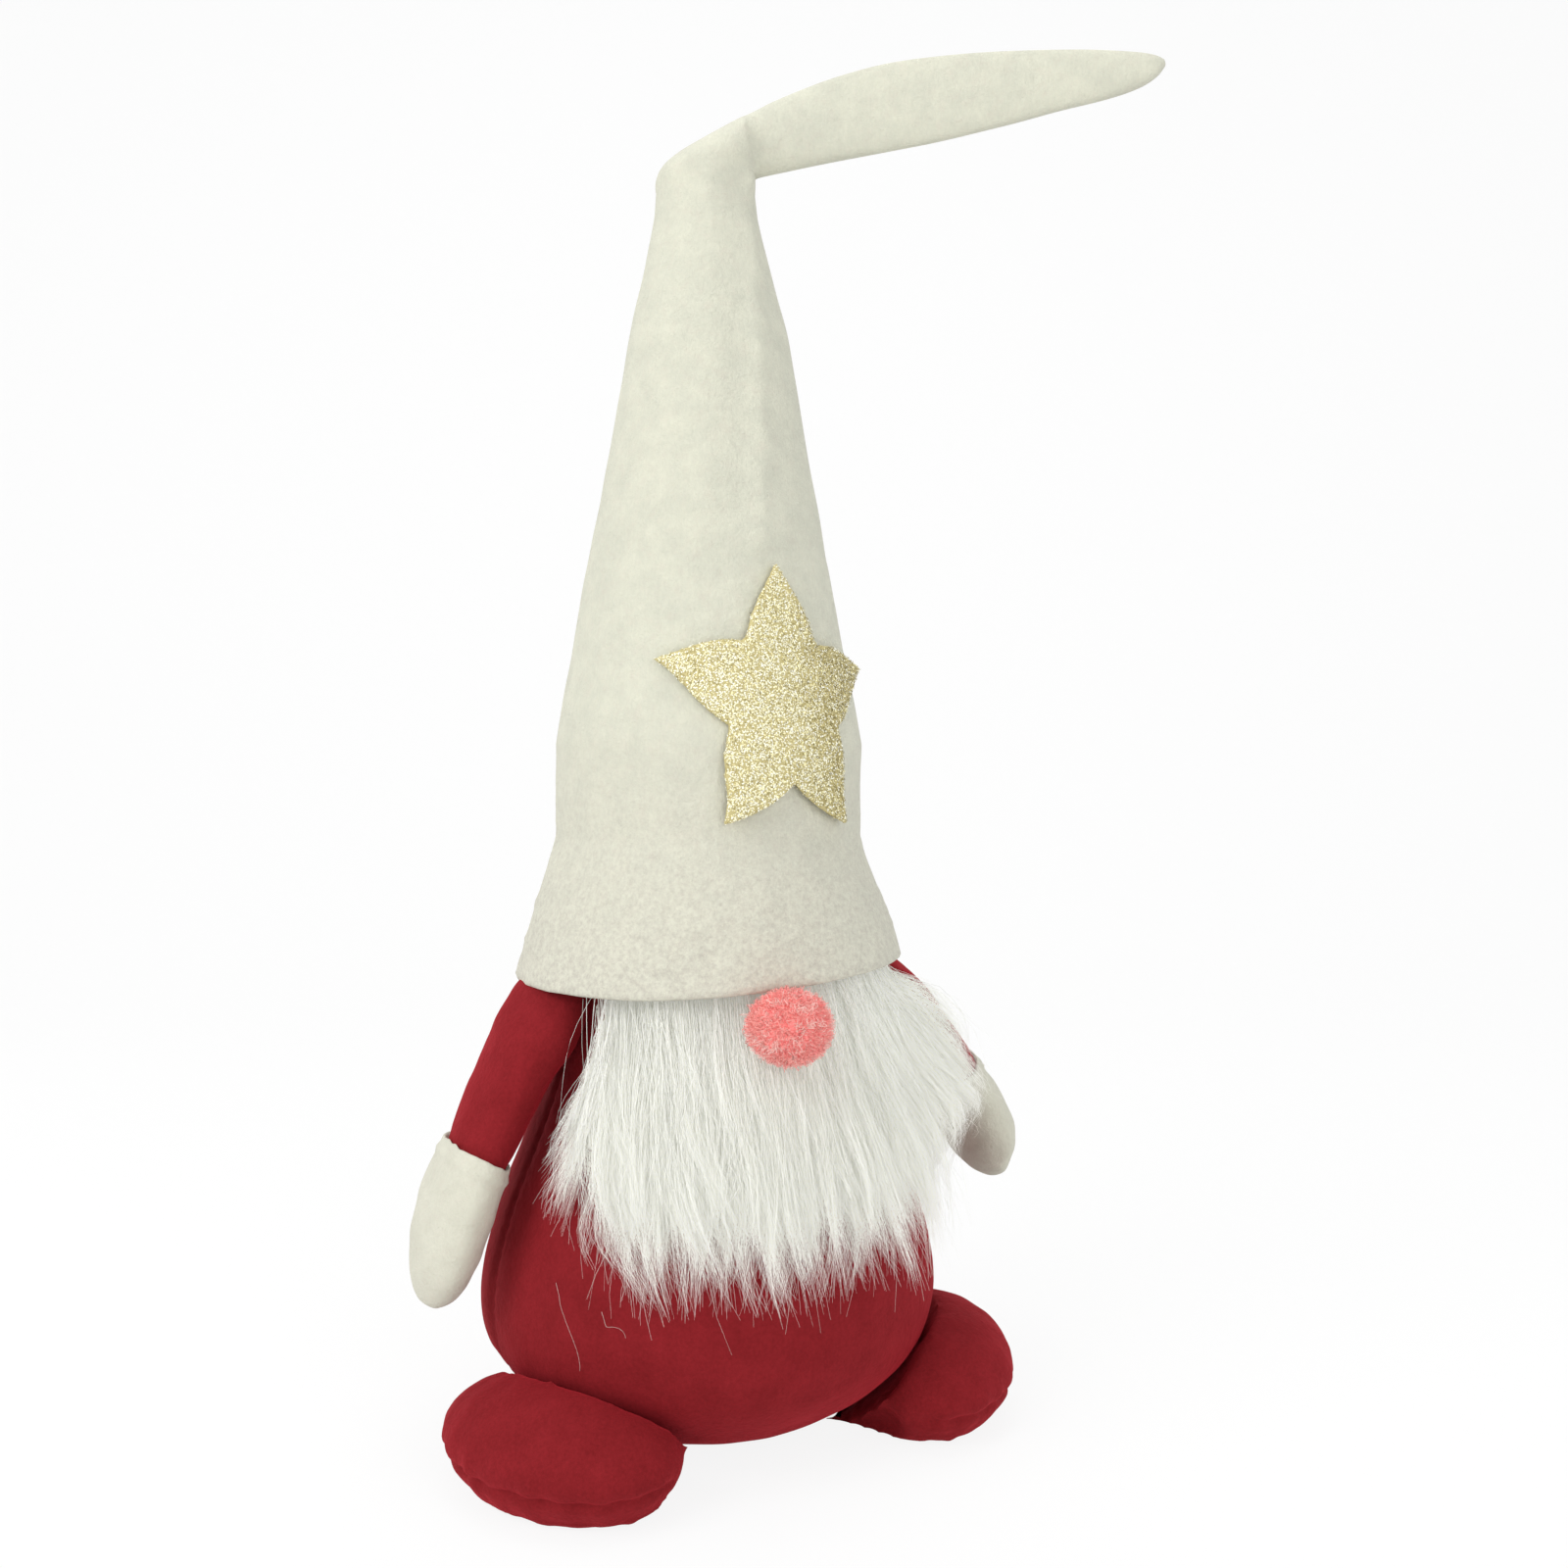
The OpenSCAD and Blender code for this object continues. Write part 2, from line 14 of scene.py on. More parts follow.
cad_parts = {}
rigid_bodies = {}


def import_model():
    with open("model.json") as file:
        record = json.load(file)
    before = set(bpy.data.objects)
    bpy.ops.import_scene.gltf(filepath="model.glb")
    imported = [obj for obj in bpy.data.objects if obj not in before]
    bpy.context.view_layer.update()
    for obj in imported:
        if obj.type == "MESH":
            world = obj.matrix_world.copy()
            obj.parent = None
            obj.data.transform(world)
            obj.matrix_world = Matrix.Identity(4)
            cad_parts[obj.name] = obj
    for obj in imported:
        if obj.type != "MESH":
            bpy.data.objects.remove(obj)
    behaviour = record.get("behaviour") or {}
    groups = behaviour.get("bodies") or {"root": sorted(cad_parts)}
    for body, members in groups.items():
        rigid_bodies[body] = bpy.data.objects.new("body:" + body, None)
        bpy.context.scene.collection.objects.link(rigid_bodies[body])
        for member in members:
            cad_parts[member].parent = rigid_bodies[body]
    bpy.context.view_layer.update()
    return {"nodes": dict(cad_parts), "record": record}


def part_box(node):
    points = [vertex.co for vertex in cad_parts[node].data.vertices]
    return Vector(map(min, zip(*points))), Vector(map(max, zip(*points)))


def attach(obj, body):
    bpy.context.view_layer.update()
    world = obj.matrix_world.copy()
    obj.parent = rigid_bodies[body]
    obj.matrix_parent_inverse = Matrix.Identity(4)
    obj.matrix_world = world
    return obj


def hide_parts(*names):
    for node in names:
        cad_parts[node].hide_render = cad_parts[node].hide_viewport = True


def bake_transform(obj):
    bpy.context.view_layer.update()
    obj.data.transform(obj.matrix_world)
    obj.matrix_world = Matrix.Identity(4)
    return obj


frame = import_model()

MM = 0.001

# %% [markdown]
# ## Sizes read from the frame
# The cloth has to lie on the CAD surfaces, so the body's outline is measured from the CAD mesh
# itself: the greatest radius at each height. The hinges give the shoulders and the hat's fold.

# %% Measure the frame
def cad_points(name):
    mesh = bpy.data.objects[frame["nodes"][name].name].data
    return np.array([v.co for v in mesh.vertices], float)


def outline_of(name, heights=None):
    """Heights, and the widest radius of a round CAD node at each."""
    points = cad_points(name)
    radius = np.hypot(points[:, 0], points[:, 1])
    if heights is None:
        heights = np.unique(np.round(points[:, 2], 5))
    widest = [radius[np.abs(points[:, 2] - z) < 2e-4].max() for z in heights]
    return np.array(heights), np.array(widest)


BRIM_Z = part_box("hat_cone")[0][2]
BRIM_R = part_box("hat_cone")[1][0]
CONE_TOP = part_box("hat_cone")[1][2]
# the hat is straight between its brim, the two ends of its upright band, and its top
BAND_LOW, BAND_TOP = 0.200, 0.232
HAT_KNEES = [BRIM_Z, BAND_LOW, BAND_TOP, CONE_TOP]
BODY_OUTLINE = outline_of("body_front_panel")
HAT_OUTLINE = outline_of("hat_cone", HAT_KNEES)


def body_at(z):
    return np.interp(z, *BODY_OUTLINE)


def hat_at(z):
    return np.interp(z, *HAT_OUTLINE)


def joint(name):
    return next(j for j in frame["record"]["behaviour"]["joints"] if j["name"] == name)


BODY_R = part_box("body_front_panel")[1][0]
FOLD = np.array(joint("hat_tip_bend")["pos_m"])
FOLD_AXIS = np.array(joint("hat_tip_bend")["axis"])
TIP_WAY = np.cross(FOLD_AXIS, [0, 0, 1])
# the gnome is looked at along the fold's axis, square to the tip
FACE, RIGHT = FOLD_AXIS / np.linalg.norm(FOLD_AXIS), TIP_WAY / np.linalg.norm(TIP_WAY)
SHOULDER = {side: np.array(joint(side + "_arm_raise")["pos_m"]) for side in ("right", "left")}


def tilt_of(side):
    """Angle of an arm from hanging straight down, in degrees."""
    hand = [cad_points(side + "_mitten_" + layer) for layer in ("outer", "inner")]
    reach = np.vstack(hand).mean(axis=0) - SHOULDER[side]
    return math.degrees(math.atan2(abs(reach[0]), -reach[2]))


TILT = {side: tilt_of(side) for side in ("right", "left")}
print("arm tilt", TILT, "hat", HAT_OUTLINE)
print("body radius", round(float(BODY_R), 4), "brim", round(float(BRIM_Z), 3), "fold", FOLD, TIP_WAY)

# %% [markdown]
# ## Helpers
# Every surface here is a grid of rings, so one function turns rings into a mesh. Another adds a
# node to a material with its settings and links, and one more turns a hex colour into the linear
# values that a shader works in.

# %% Mesh and material helpers
def smooth(t):
    t = np.clip(t, 0, 1)
    return t * t * (3 - 2 * t)


def new_piece(name, points, faces, material, shade=True):
    mesh = bpy.data.meshes.new(name)
    mesh.from_pydata([tuple(p) for p in points], [], [tuple(f) for f in faces])
    mesh.validate()
    if shade:
        mesh.shade_smooth()
    piece = bpy.data.objects.new(name, mesh)
    bpy.context.scene.collection.objects.link(piece)
    mesh.materials.append(material)
    return piece


def ring_faces(rings, around, first_cap=False, last_cap=False):
    faces = []
    for i in range(rings - 1):
        for j in range(around):
            a, b = i * around + j, i * around + (j + 1) % around
            faces.append((a, b, b + around, a + around))
    if first_cap:
        faces.append(tuple(range(around - 1, -1, -1)))
    if last_cap:
        faces.append(tuple((rings - 1) * around + j for j in range(around)))
    return faces


def linear(code):
    channels = [int(code[i:i + 2], 16) / 255 for i in (1, 3, 5)]
    return tuple(c / 12.92 if c <= 0.04045 else ((c + 0.055) / 1.055) ** 2.4 for c in channels) + (1,)


def add(tree, kind, links=None, **settings):
    made = tree.nodes.new("ShaderNode" + kind)
    for name, value in settings.items():
        if name in made.inputs:
            made.inputs[name].default_value = value
        else:
            setattr(made, name, value)
    for name, source in (links or {}).items():
        tree.links.new(source, made.inputs[name])
    return made


def new_material(name, **shader):
    material = bpy.data.materials.new(name)
    material.use_nodes = True
    material.node_tree.nodes.clear()
    surface = add(material.node_tree, "BsdfPrincipled")
    for socket, value in shader.items():
        surface.inputs[socket.replace("_", " ")].default_value = value
    out = add(material.node_tree, "OutputMaterial", {"Surface": surface.outputs["BSDF"]})
    out.is_active_output = True
    return material, material.node_tree, surface


# %% [markdown]
# ## Needle-punched felt
# The hat and mittens are polyester felt about 2.5 mm thick. Barbed needles tangle the fibres, so
# there is no weave: the eye sees a matt, slightly cloudy surface with short fibres lying every way
# and small dents. Noise at the size of those clouds, dents and fibres gives colour and bump.

# %% Felt
def cloud(tree, where, size_mm, detail=2.0, rough=0.5, stretch=None):
    """Noise whose blotches are size_mm across."""
    if stretch:
        where = add(tree, "Mapping", {"Vector": where}, Scale=stretch).outputs["Vector"]
    made = add(tree, "TexNoise", {"Vector": where}, Scale=1 / (size_mm * MM), Detail=detail, Roughness=rough)
    return made.outputs["Fac"]


def tones(tree, factor, low, high, start=0.35, end=0.65):
    ramp = add(tree, "ValToRGB", {"Fac": factor})
    ramp.color_ramp.elements[0].position = start
    ramp.color_ramp.elements[1].position = end
    ramp.color_ramp.elements[0].color = linear(low)
    ramp.color_ramp.elements[1].color = linear(high)
    return ramp.outputs["Color"]


def mixed(tree, factor, a, b, kind="MIX"):
    made = add(tree, "Mix", data_type="RGBA", blend_type=kind)
    tree.links.new(a, made.inputs[6])
    tree.links.new(b, made.inputs[7])
    if isinstance(factor, float):
        made.inputs[0].default_value = factor
    else:
        tree.links.new(factor, made.inputs[0])
    return made.outputs[2]


def bumped(tree, surface, layers):
    """Stacks bump layers, each (height, depth in millimetres), coarsest first."""
    before = None
    for height, depth_mm in layers:
        links = {"Height": height}
        if before:
            links["Normal"] = before
        before = add(tree, "Bump", links, Distance=depth_mm * MM, Strength=1.0).outputs["Normal"]
    tree.links.new(before, surface.inputs["Normal"])


def needled_felt(name, light, shade, blush, shade_full_z=None, shade_free_z=None):
    """Felt of two tones and a blush. Given two heights, painted shade mixes a mottled grey into it: most at the
    lower height and below, none at the upper one and above.
    """
    material, tree, surface = new_material(
        name, Roughness=0.95, Specular_IOR_Level=0.15, Sheen_Weight=0.12, Sheen_Roughness=0.6)
    where = add(tree, "TexCoord").outputs["Object"]
    clouds = tones(tree, cloud(tree, where, 9, 3), shade, light)
    fibres = tones(tree, cloud(tree, where, 0.9, 3, 0.7, (1, 1, 0.35)), shade, light, 0.3, 0.62)
    felt = mixed(tree, 0.45, clouds, fibres)
    patches = cloud(tree, where, 3.5, 4, 0.65)
    fade = add(tree, "MapRange", {"Value": patches}, **{"From Min": 0.5, "From Max": 0.72})
    soft = add(tree, "Math", {0: fade.outputs["Result"]}, operation="MULTIPLY")
    soft.inputs[1].default_value = 0.22
    tinted = add(tree, "RGB")
    tinted.outputs[0].default_value = linear(blush)
    felt = mixed(tree, soft.outputs[0], felt, tinted.outputs[0])
    # painted shade: the felt turns a mottled grey towards the brim
    if shade_full_z:
        height = add(tree, "SeparateXYZ", {"Vector": where}).outputs["Z"]
        painted_shade = add(tree, "MapRange", {"Value": height},
                   **{"From Min": shade_free_z, "From Max": shade_full_z, "To Max": 0.7})
        shaded_felt = tones(tree, cloud(tree, where, 1.9, 6, 0.8), "#AFA79D", "#D5D3C3", 0.36, 0.60)
        felt = mixed(tree, painted_shade.outputs["Result"], felt, shaded_felt)
    tree.links.new(felt, surface.inputs["Base Color"])
    bumped(tree, surface, [
        (cloud(tree, where, 5, 2), 0.6),
        (cloud(tree, where, 1.5, 4, 0.7), 0.5),
        (cloud(tree, where, 0.5, 2, 0.7, (1, 1, 0.4)), 0.15)])
    return material


# the hat's felt gets painted shade from its brim up to 0.245 m
HAT_FELT = needled_felt("needled_polyester_felt", "#D4D3C1", "#C6C6B6", "#CBBEB1", shade_full_z=BRIM_Z, shade_free_z=0.245)
MITTEN_FELT = needled_felt("mitten_felt", "#D3D1C1", "#C8C6B6", "#CBBFB2")
print("felt ready")

# %% [markdown]
# ## Brushed fleece
# The body, sleeves and feet are thin brushed polyester. Raised fibre ends catch light that grazes
# them, so the cloth is deepest where it faces the eye and a brighter crimson towards its edges.
# A sheen layer does that, with fine nap in the bump.

# %% Fleece
def brushed_fleece(name, deep, bright):
    material, tree, surface = new_material(
        name, Roughness=0.9, Specular_IOR_Level=0.12,
        Sheen_Weight=0.55, Sheen_Roughness=0.45, Sheen_Tint=linear("#DA3240"))
    where = add(tree, "TexCoord").outputs["Object"]
    nap = cloud(tree, where, 1.1, 4, 0.7)
    brushed = cloud(tree, where, 11, 3, 0.55)
    fine = tones(tree, nap, deep, bright, 0.3, 0.72)
    broad = tones(tree, brushed, deep, bright, 0.3, 0.75)
    tree.links.new(mixed(tree, 0.45, fine, broad), surface.inputs["Base Color"])
    bumped(tree, surface, [(brushed, 0.7), (cloud(tree, where, 2.4, 3, 0.6), 0.35), (nap, 0.16)])
    return material


FLEECE = brushed_fleece("brushed_polyester_fleece", "#6E1418", "#8A2026")
print("fleece ready")

# %% [markdown]
# ## Plain fibres and thread
# Hair and pompom are extruded acrylic, drawn into fibres thinner than the eye can pick out, so each
# is one plain colour. A few tones side by side make the depth that one tone lacks.

# %% Hair, pompom and thread colours
def fibre(name, colour, rough=0.55, glow=0.0):
    """A fibre's material. Its faint glow is painted light, standing in for the light that fibres this thin pass on
    to each other.
    """
    return new_material(name, Base_Color=linear(colour), Roughness=rough, Specular_IOR_Level=0.3,
                        Emission_Color=linear(colour), Emission_Strength=glow)[0]


# hair, underhair and pompom get a faint glow: painted light
HAIR = [fibre("acrylic_hair_" + tone, colour, 0.5, 0.095) for tone, colour in (
    ("white", "#FFFFFA"), ("milk", "#FCFCF5"), ("silver", "#F3F3EB"), ("grey", "#DCDDD6"))]
HAIR_BASE = fibre("acrylic_underhair", "#EDEDE6", 0.9, 0.05)
POMPOM = [fibre("pompom_yarn_" + tone, colour, 0.75, 0.06) for tone, colour in (
    ("coral", "#FFB4AC"), ("rose", "#FF9E9A"), ("blush", "#FFD6CE"))]
THREAD_CREAM = fibre("polyester_thread_cream", "#DAD6C2", 0.6)
print("fibres ready")

# %% [markdown]
# ## The hat
# One piece of felt is sewn into a cone, pulled over the head and bent over near its top, where a
# wire holds it. Each ring of the mesh joins an inner edge to an outer edge in the plane of the
# bend, with its own depth across that plane. At the fold the inner edge stays put while the outer
# edge swings over it, which makes the sharp inside crease and the sloping shoulder of bent felt.

# %% Hat rings
# Each row: inner edge (out, up), outer edge (out, up), half depth, in millimetres. Out is along the tip.
FOLD_ROWS = [
    ((16.5, 428), (-19.2, 428), 17.5), ((16.7, 431.5), (-19.3, 432), 17.2),
    ((16.6, 433.2), (-17.2, 436.4), 16.6), ((16.4, 433.8), (-11.5, 441.2), 15.8),
    ((16.3, 434.0), (-3.5, 446.1), 15.0), ((16.2, 434.2), (4.5, 450.7), 14.0),
    ((16.1, 434.3), (10.6, 454.2), 12.6), ((16.6, 434.5), (13.6, 456.0), 9.6),
    ((18.4, 434.9), (17.0, 458.0), 7.6), ((24.0, 436.1), (23.0, 461.2), 6.6),
    ((34.0, 438.2), (34.0, 465.8), 5.8), ((47.6, 441.0), (48.0, 470.8), 5.0),
    ((64.0, 444.0), (64.0, 475.0), 4.4), ((82.6, 447.7), (82.0, 477.6), 4.0),
    ((103.0, 452.6), (102.0, 479.1), 3.8), ((124.6, 458.5), (123.0, 479.8), 3.6),
    ((143.0, 463.2), (142.0, 479.6), 3.5), ((154.0, 467.2), (152.5, 478.9), 3.4),
    ((160.0, 471.0), (158.6, 477.8), 2.9), ((162.6, 474.2), (161.6, 476.6), 1.8)]
AROUND = 144           # points in each ring of the hat
TAPER_START, BEND_START = 0.36, 0.42
FELT_THICK = 2.4 * MM


def spline(values, count):
    """A smooth run of count points through the values, which may be rows of numbers."""
    values = np.array(values, float)
    n = len(values)
    place = np.linspace(0, n - 1, count)
    i = np.clip(place.astype(int), 0, n - 2)
    t = (place - i)[:, None]
    p0, p1 = values[np.maximum(i - 1, 0)], values[i]
    p2, p3 = values[i + 1], values[np.minimum(i + 2, n - 1)]
    return 0.5 * (2 * p1 + (p2 - p0) * t + (2 * p0 - 5 * p1 + 4 * p2 - p3) * t * t
                  + (3 * p1 - p0 - 3 * p2 + p3) * t ** 3)


def hat_rings():
    rows = []
    for z in np.concatenate([np.linspace(BRIM_Z, BAND_TOP, 44)[:-1], np.linspace(BAND_TOP, BEND_START, 96)]):
        r = hat_at(z) / MM
        taper = smooth((z - TAPER_START) / 0.06)
        rows.append([r - 3.2 * taper, z / MM, -r + 0.4 * taper, z / MM, r - 2 * taper])
    bend = [[i[0], i[1], o[0], o[1], d] for i, o, d in FOLD_ROWS]
    return np.vstack([rows, spline(bend, 190)]) * MM


def soft_noise(points, size_mm, seed):
    return np.array([noise.noise(Vector(p) / (size_mm * MM) + Vector((seed, 0, 0))) for p in points])


def angles_of(points):
    """Angle of each point about the gnome's axis, from straight ahead towards its left."""
    return np.degrees(np.arctan2(points[:, 0], -points[:, 1]))


# %% Dents, folds and the brim
def handling_dents(shell):
    """Broad dents all over and small creases where the brim has been pressed, in millimetres."""
    low = 1 - smooth((shell[:, 2] - 0.17) / 0.07)
    calm = 1 - 0.75 * smooth((shell[:, 2] - 0.40) / 0.03)
    dents = 1.1 * soft_noise(shell, 45, 3) * calm + 0.5 * soft_noise(shell, 16, 7) * calm
    creases = 1 - np.abs(soft_noise(shell * [1, 1, 1.6], 20, 11)) * 6
    return dents + 0.55 * np.clip(creases, 0, 1) * low


def ridge_dents(shell):
    """The soft ridge that runs from the fold's inside corner down to the star, in millimetres."""
    side = np.arctan2(shell @ TIP_WAY, -(shell @ FOLD_AXIS))
    ridge_at = np.interp(shell[:, 2], [0.25, 0.281, 0.39, 0.43], np.radians([20, 24, 42, 62]))
    reach = (side - ridge_at) * np.hypot(shell[:, 0], shell[:, 1])
    strength = smooth((shell[:, 2] - 0.285) / 0.03) * (1 - smooth((shell[:, 2] - 0.43) / 0.01))
    dents = 1.0 * np.exp(-(reach / (3.5 * MM)) ** 2) * strength
    dents -= 0.8 * np.exp(-((reach + 9 * MM) / (7 * MM)) ** 2) * strength
    crinkle = soft_noise(shell * [1, 1, 0.3], 4.5, 19)
    return dents + 0.7 * crinkle * np.exp(-((reach - 3 * MM) / (7 * MM)) ** 2) * strength


def behind_star(shell):
    """1 where the star is glued to the felt, which is smooth and pressed in there, and 0 elsewhere."""
    low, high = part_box("star")
    level = 1 - smooth((np.abs(shell[:, 2] - (low.z + high.z) / 2) - 0.044) / 0.008)
    return level * (1 - smooth((np.abs(angles_of(shell) - 5) - 50) / 12))


def outward(ring):
    out = ring * [1, 1, 0]
    return out / np.linalg.norm(out, axis=1)[:, None]


def brim_edge(shell):
    """Rings of the felt's raw edge, then of its inside, which goes up to the head."""
    lip, inside = [], []
    ring = shell[:AROUND]
    for turn in (45, 90, 135):
        c, s = math.cos(math.radians(turn)), math.sin(math.radians(turn))
        lip.append(ring - outward(ring) * (FELT_THICK / 2 * (1 - c)) - np.array([0, 0, FELT_THICK / 2 * s]))
    for i in range(0, 40, 3):
        ring = shell[i * AROUND:(i + 1) * AROUND]
        inside.append(ring - outward(ring) * FELT_THICK)
    return inside[::-1] + lip[::-1]


# %% Make the hat
def make_hat():
    rows = hat_rings()
    angles = np.linspace(0, 2 * math.pi, AROUND, endpoint=False)
    inner = rows[:, 0, None] * TIP_WAY + rows[:, 1, None] * np.array([0, 0, 1])
    outer = rows[:, 2, None] * TIP_WAY + rows[:, 3, None] * np.array([0, 0, 1])
    centre, half = (inner + outer) / 2, (inner - outer) / 2
    along, across = np.cos(angles), np.sin(angles)
    # past the fold the tube is pressed flat, so its section is fuller than an ellipse
    past = rows[:, 1] > CONE_TOP
    flat = (smooth((rows[:, 0] / MM - 17) / 30) * past)[:, None]
    fuller = np.sign(across) * np.abs(across) ** 0.7
    depth = rows[:, 4, None] * (across * (1 - flat) + fuller * flat)
    points = (centre[:, None] + along[None, :, None] * half[:, None]
              + depth[..., None] * FOLD_AXIS)
    shell = points.reshape(-1, 3)
    normal = shell - np.repeat(centre, AROUND, axis=0)
    normal /= np.linalg.norm(normal, axis=1)[:, None] + 1e-9
    behind = behind_star(shell)
    dents = (handling_dents(shell) + ridge_dents(shell)) * (1 - behind) - 0.35 * behind
    shell = shell + normal * (dents * MM)[:, None]
    # the felt sits a little higher over the gnome's left shoulder
    near_brim = 1 - smooth((shell[:, 2] - BRIM_Z) / 0.05)
    toward = np.clip((shell @ TIP_WAY / BRIM_R + 0.3) / 1.3, 0, 1)
    shell[:, 2] += (1.8 + 7.2 * toward ** 1.4) * MM * near_brim
    everything = np.vstack(brim_edge(shell) + [shell])
    return new_piece("hat_felt", everything, ring_faces(len(everything) // AROUND, AROUND, True, True), HAT_FELT)


hat = make_hat()
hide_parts("hat_cone", "hat_fold", "hat_tip", "hat_stuffing")
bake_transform(hat)
print("hat:", len(hat.data.vertices), "points")

# %% [markdown]
# ## Stuffed cloth
# A stuffed piece starts as its smooth form. The form is remeshed into an even net of small faces,
# simulated as cloth with air pressure and no gravity so that it swells and wrinkles, held to a few
# millimetres of the form, and subdivided once.

# %% Stuffing a form
def remesh(piece, size_mm):
    tool = piece.modifiers.new("net", "REMESH")
    tool.mode, tool.voxel_size = "VOXEL", size_mm * MM
    settle(piece)


def settle(piece):
    """Turns the piece's modifiers into plain mesh."""
    shown = piece.evaluated_get(bpy.context.evaluated_depsgraph_get())
    mesh = bpy.data.meshes.new_from_object(shown)
    piece.modifiers.clear()
    piece.data = mesh
    piece.data.shade_smooth()


def coordinates(piece):
    flat = np.zeros(len(piece.data.vertices) * 3)
    piece.data.vertices.foreach_get("co", flat)
    return flat.reshape(-1, 3)


def normals(piece):
    flat = np.zeros(len(piece.data.vertices) * 3)
    piece.data.vertices.foreach_get("normal", flat)
    return flat.reshape(-1, 3)


def move_to(piece, points):
    piece.data.vertices.foreach_set("co", np.asarray(points, float).ravel())
    piece.data.update()


def stuff(piece, net_mm=4.0, pressure=4.0, reach_mm=2.5):
    remesh(piece, net_mm)
    form = coordinates(piece)
    move_to(piece, form - normals(piece) * 0.6 * MM)
    cloth = piece.modifiers.new("cloth", "CLOTH")
    set_up = cloth.settings
    set_up.quality, set_up.mass = 6, 0.2
    set_up.tension_stiffness = set_up.compression_stiffness = 12
    set_up.shear_stiffness, set_up.bending_stiffness = 6, 0.3
    set_up.use_pressure, set_up.uniform_pressure_force = True, pressure
    set_up.effector_weights.gravity = 0
    cloth.collision_settings.use_collision = False
    cloth.point_cache.frame_start, cloth.point_cache.frame_end = 1, 20
    for step in range(1, 21):
        bpy.context.scene.frame_set(step)
    settle(piece)
    bpy.context.scene.frame_set(1)
    shift = coordinates(piece) - form
    far = np.linalg.norm(shift, axis=1)
    move_to(piece, form + shift * np.minimum(1, reach_mm * MM / (far + 1e-9))[:, None])
    piece.modifiers.new("finer", "SUBSURF").levels = 1
    settle(piece)
    return piece


def dent(piece, depth):
    """Moves each point along its normal by a depth in millimetres."""
    move_to(piece, coordinates(piece) + normals(piece) * (np.asarray(depth) * MM)[:, None])


# %% [markdown]
# ## The body
# Two fleece panels meet in side seams and close on a small round base. The form follows the CAD
# outline and ends out of sight inside the hat.

# %% Body
def make_body():
    heights = np.concatenate([[0.0004], np.linspace(0.0015, 0.012, 5), np.linspace(0.018, 0.20, 36)])
    turn = np.linspace(0, 2 * math.pi, 72, endpoint=False)
    # filled cloth rounds under sooner than the CAD outline does
    radii = np.maximum(0.0355, body_at(heights) - 7.5 * MM * (1 - smooth(heights / 0.032)))
    rings = [np.c_[r * np.sin(turn), -r * np.cos(turn), np.full(72, z)] for r, z in zip(radii, heights)]
    piece = new_piece("body_fleece", np.vstack(rings), ring_faces(len(rings), 72, True, True), FLEECE)
    stuff(piece, 4.0, 4.0, 2.0)
    points = coordinates(piece)
    seam = np.abs(np.abs(angles_of(points)) - 90) * math.pi / 180 * BODY_R / MM
    puckers = 0.5 + 0.5 * np.sin(points[:, 2] / (5 * MM) * 2 * math.pi)
    depth = -1.3 * np.exp(-(seam / 2.2) ** 2) - 0.35 * puckers * np.exp(-(seam / 9) ** 2)
    depth += 0.9 * soft_noise(points, 34, 21) + 0.45 * soft_noise(points * [1, 1, 0.6], 13, 23)
    on_base = points[:, 2] < 0.004
    dent(piece, np.where(on_base, 0, depth))
    points = coordinates(piece)
    points[:, 2] = np.maximum(points[:, 2], 0.0003)
    move_to(piece, points)
    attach(piece, "body")
    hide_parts("body_front_panel", "body_back_panel", "base_panel", "body_stuffing")
    return piece


body = make_body()
print("body:", len(body.data.vertices), "points")

# %% [markdown]
# ## The feet
# Each foot is a flat pad of fleece filled tight, with its sole sewn to its upper in a low seam. The
# stitches pull the cloth in, so the seam lies in a groove with small puckers above and below it.

# %% Feet
SEAM_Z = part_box("left_foot_sole")[1][2]


def copy_of(name, nodes, material):
    """One mesh made of copies of CAD nodes, to start a softer form from."""
    points, faces = [], []
    for node in nodes:
        mesh = frame["nodes"][node].data
        faces += [tuple(len(points) + i for i in p.vertices) for p in mesh.polygons]
        points += [v.co[:] for v in mesh.vertices]
    return new_piece(name, points, faces, material)


def seam_groove(points, z, wide, deep, pucker, step):
    level = (points[:, 2] - z) / MM
    run = np.unwrap(np.arctan2(points[:, 1], points[:, 0])) * 60
    wave = 0.5 + 0.5 * np.sin(run / step * 2 * math.pi + 3 * soft_noise(points, 14, 31))
    return -deep * np.exp(-(level / wide) ** 2) - pucker * wave * np.exp(-(level / (wide * 3.2)) ** 2)


def make_foot(side):
    nodes = [side + "_foot_" + part for part in ("upper", "sole", "stuffing")]
    piece = copy_of(side + "_foot_fleece", nodes, FLEECE)
    points = coordinates(piece)
    middle = points.mean(axis=0) * [1, 1, 0]
    under = 1 - 0.15 * (1 - smooth(points[:, 2] / 0.016))
    move_to(piece, middle + (points - middle) * np.c_[under, under, np.ones(len(points))])
    stuff(piece, 2.6, 4.0, 1.8)
    points = coordinates(piece)
    out = np.hypot(points[:, 0], points[:, 1])
    free = smooth((out - 0.078) / 0.012) * (points[:, 2] > 0.003)
    depth = seam_groove(points, SEAM_Z, 1.5, 1.5, 0.8, 6.5) * free
    depth += (0.8 * soft_noise(points, 26, 41) + 0.35 * soft_noise(points, 10, 43)) * (points[:, 2] > 0.003)
    dent(piece, depth)
    points = coordinates(piece)
    points[:, 2] = np.maximum(points[:, 2], 0.0003)
    move_to(piece, points)
    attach(piece, "body")
    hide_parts(*nodes)
    return piece


feet = [make_foot(side) for side in ("right", "left")]
print("feet:", [len(f.data.vertices) for f in feet])

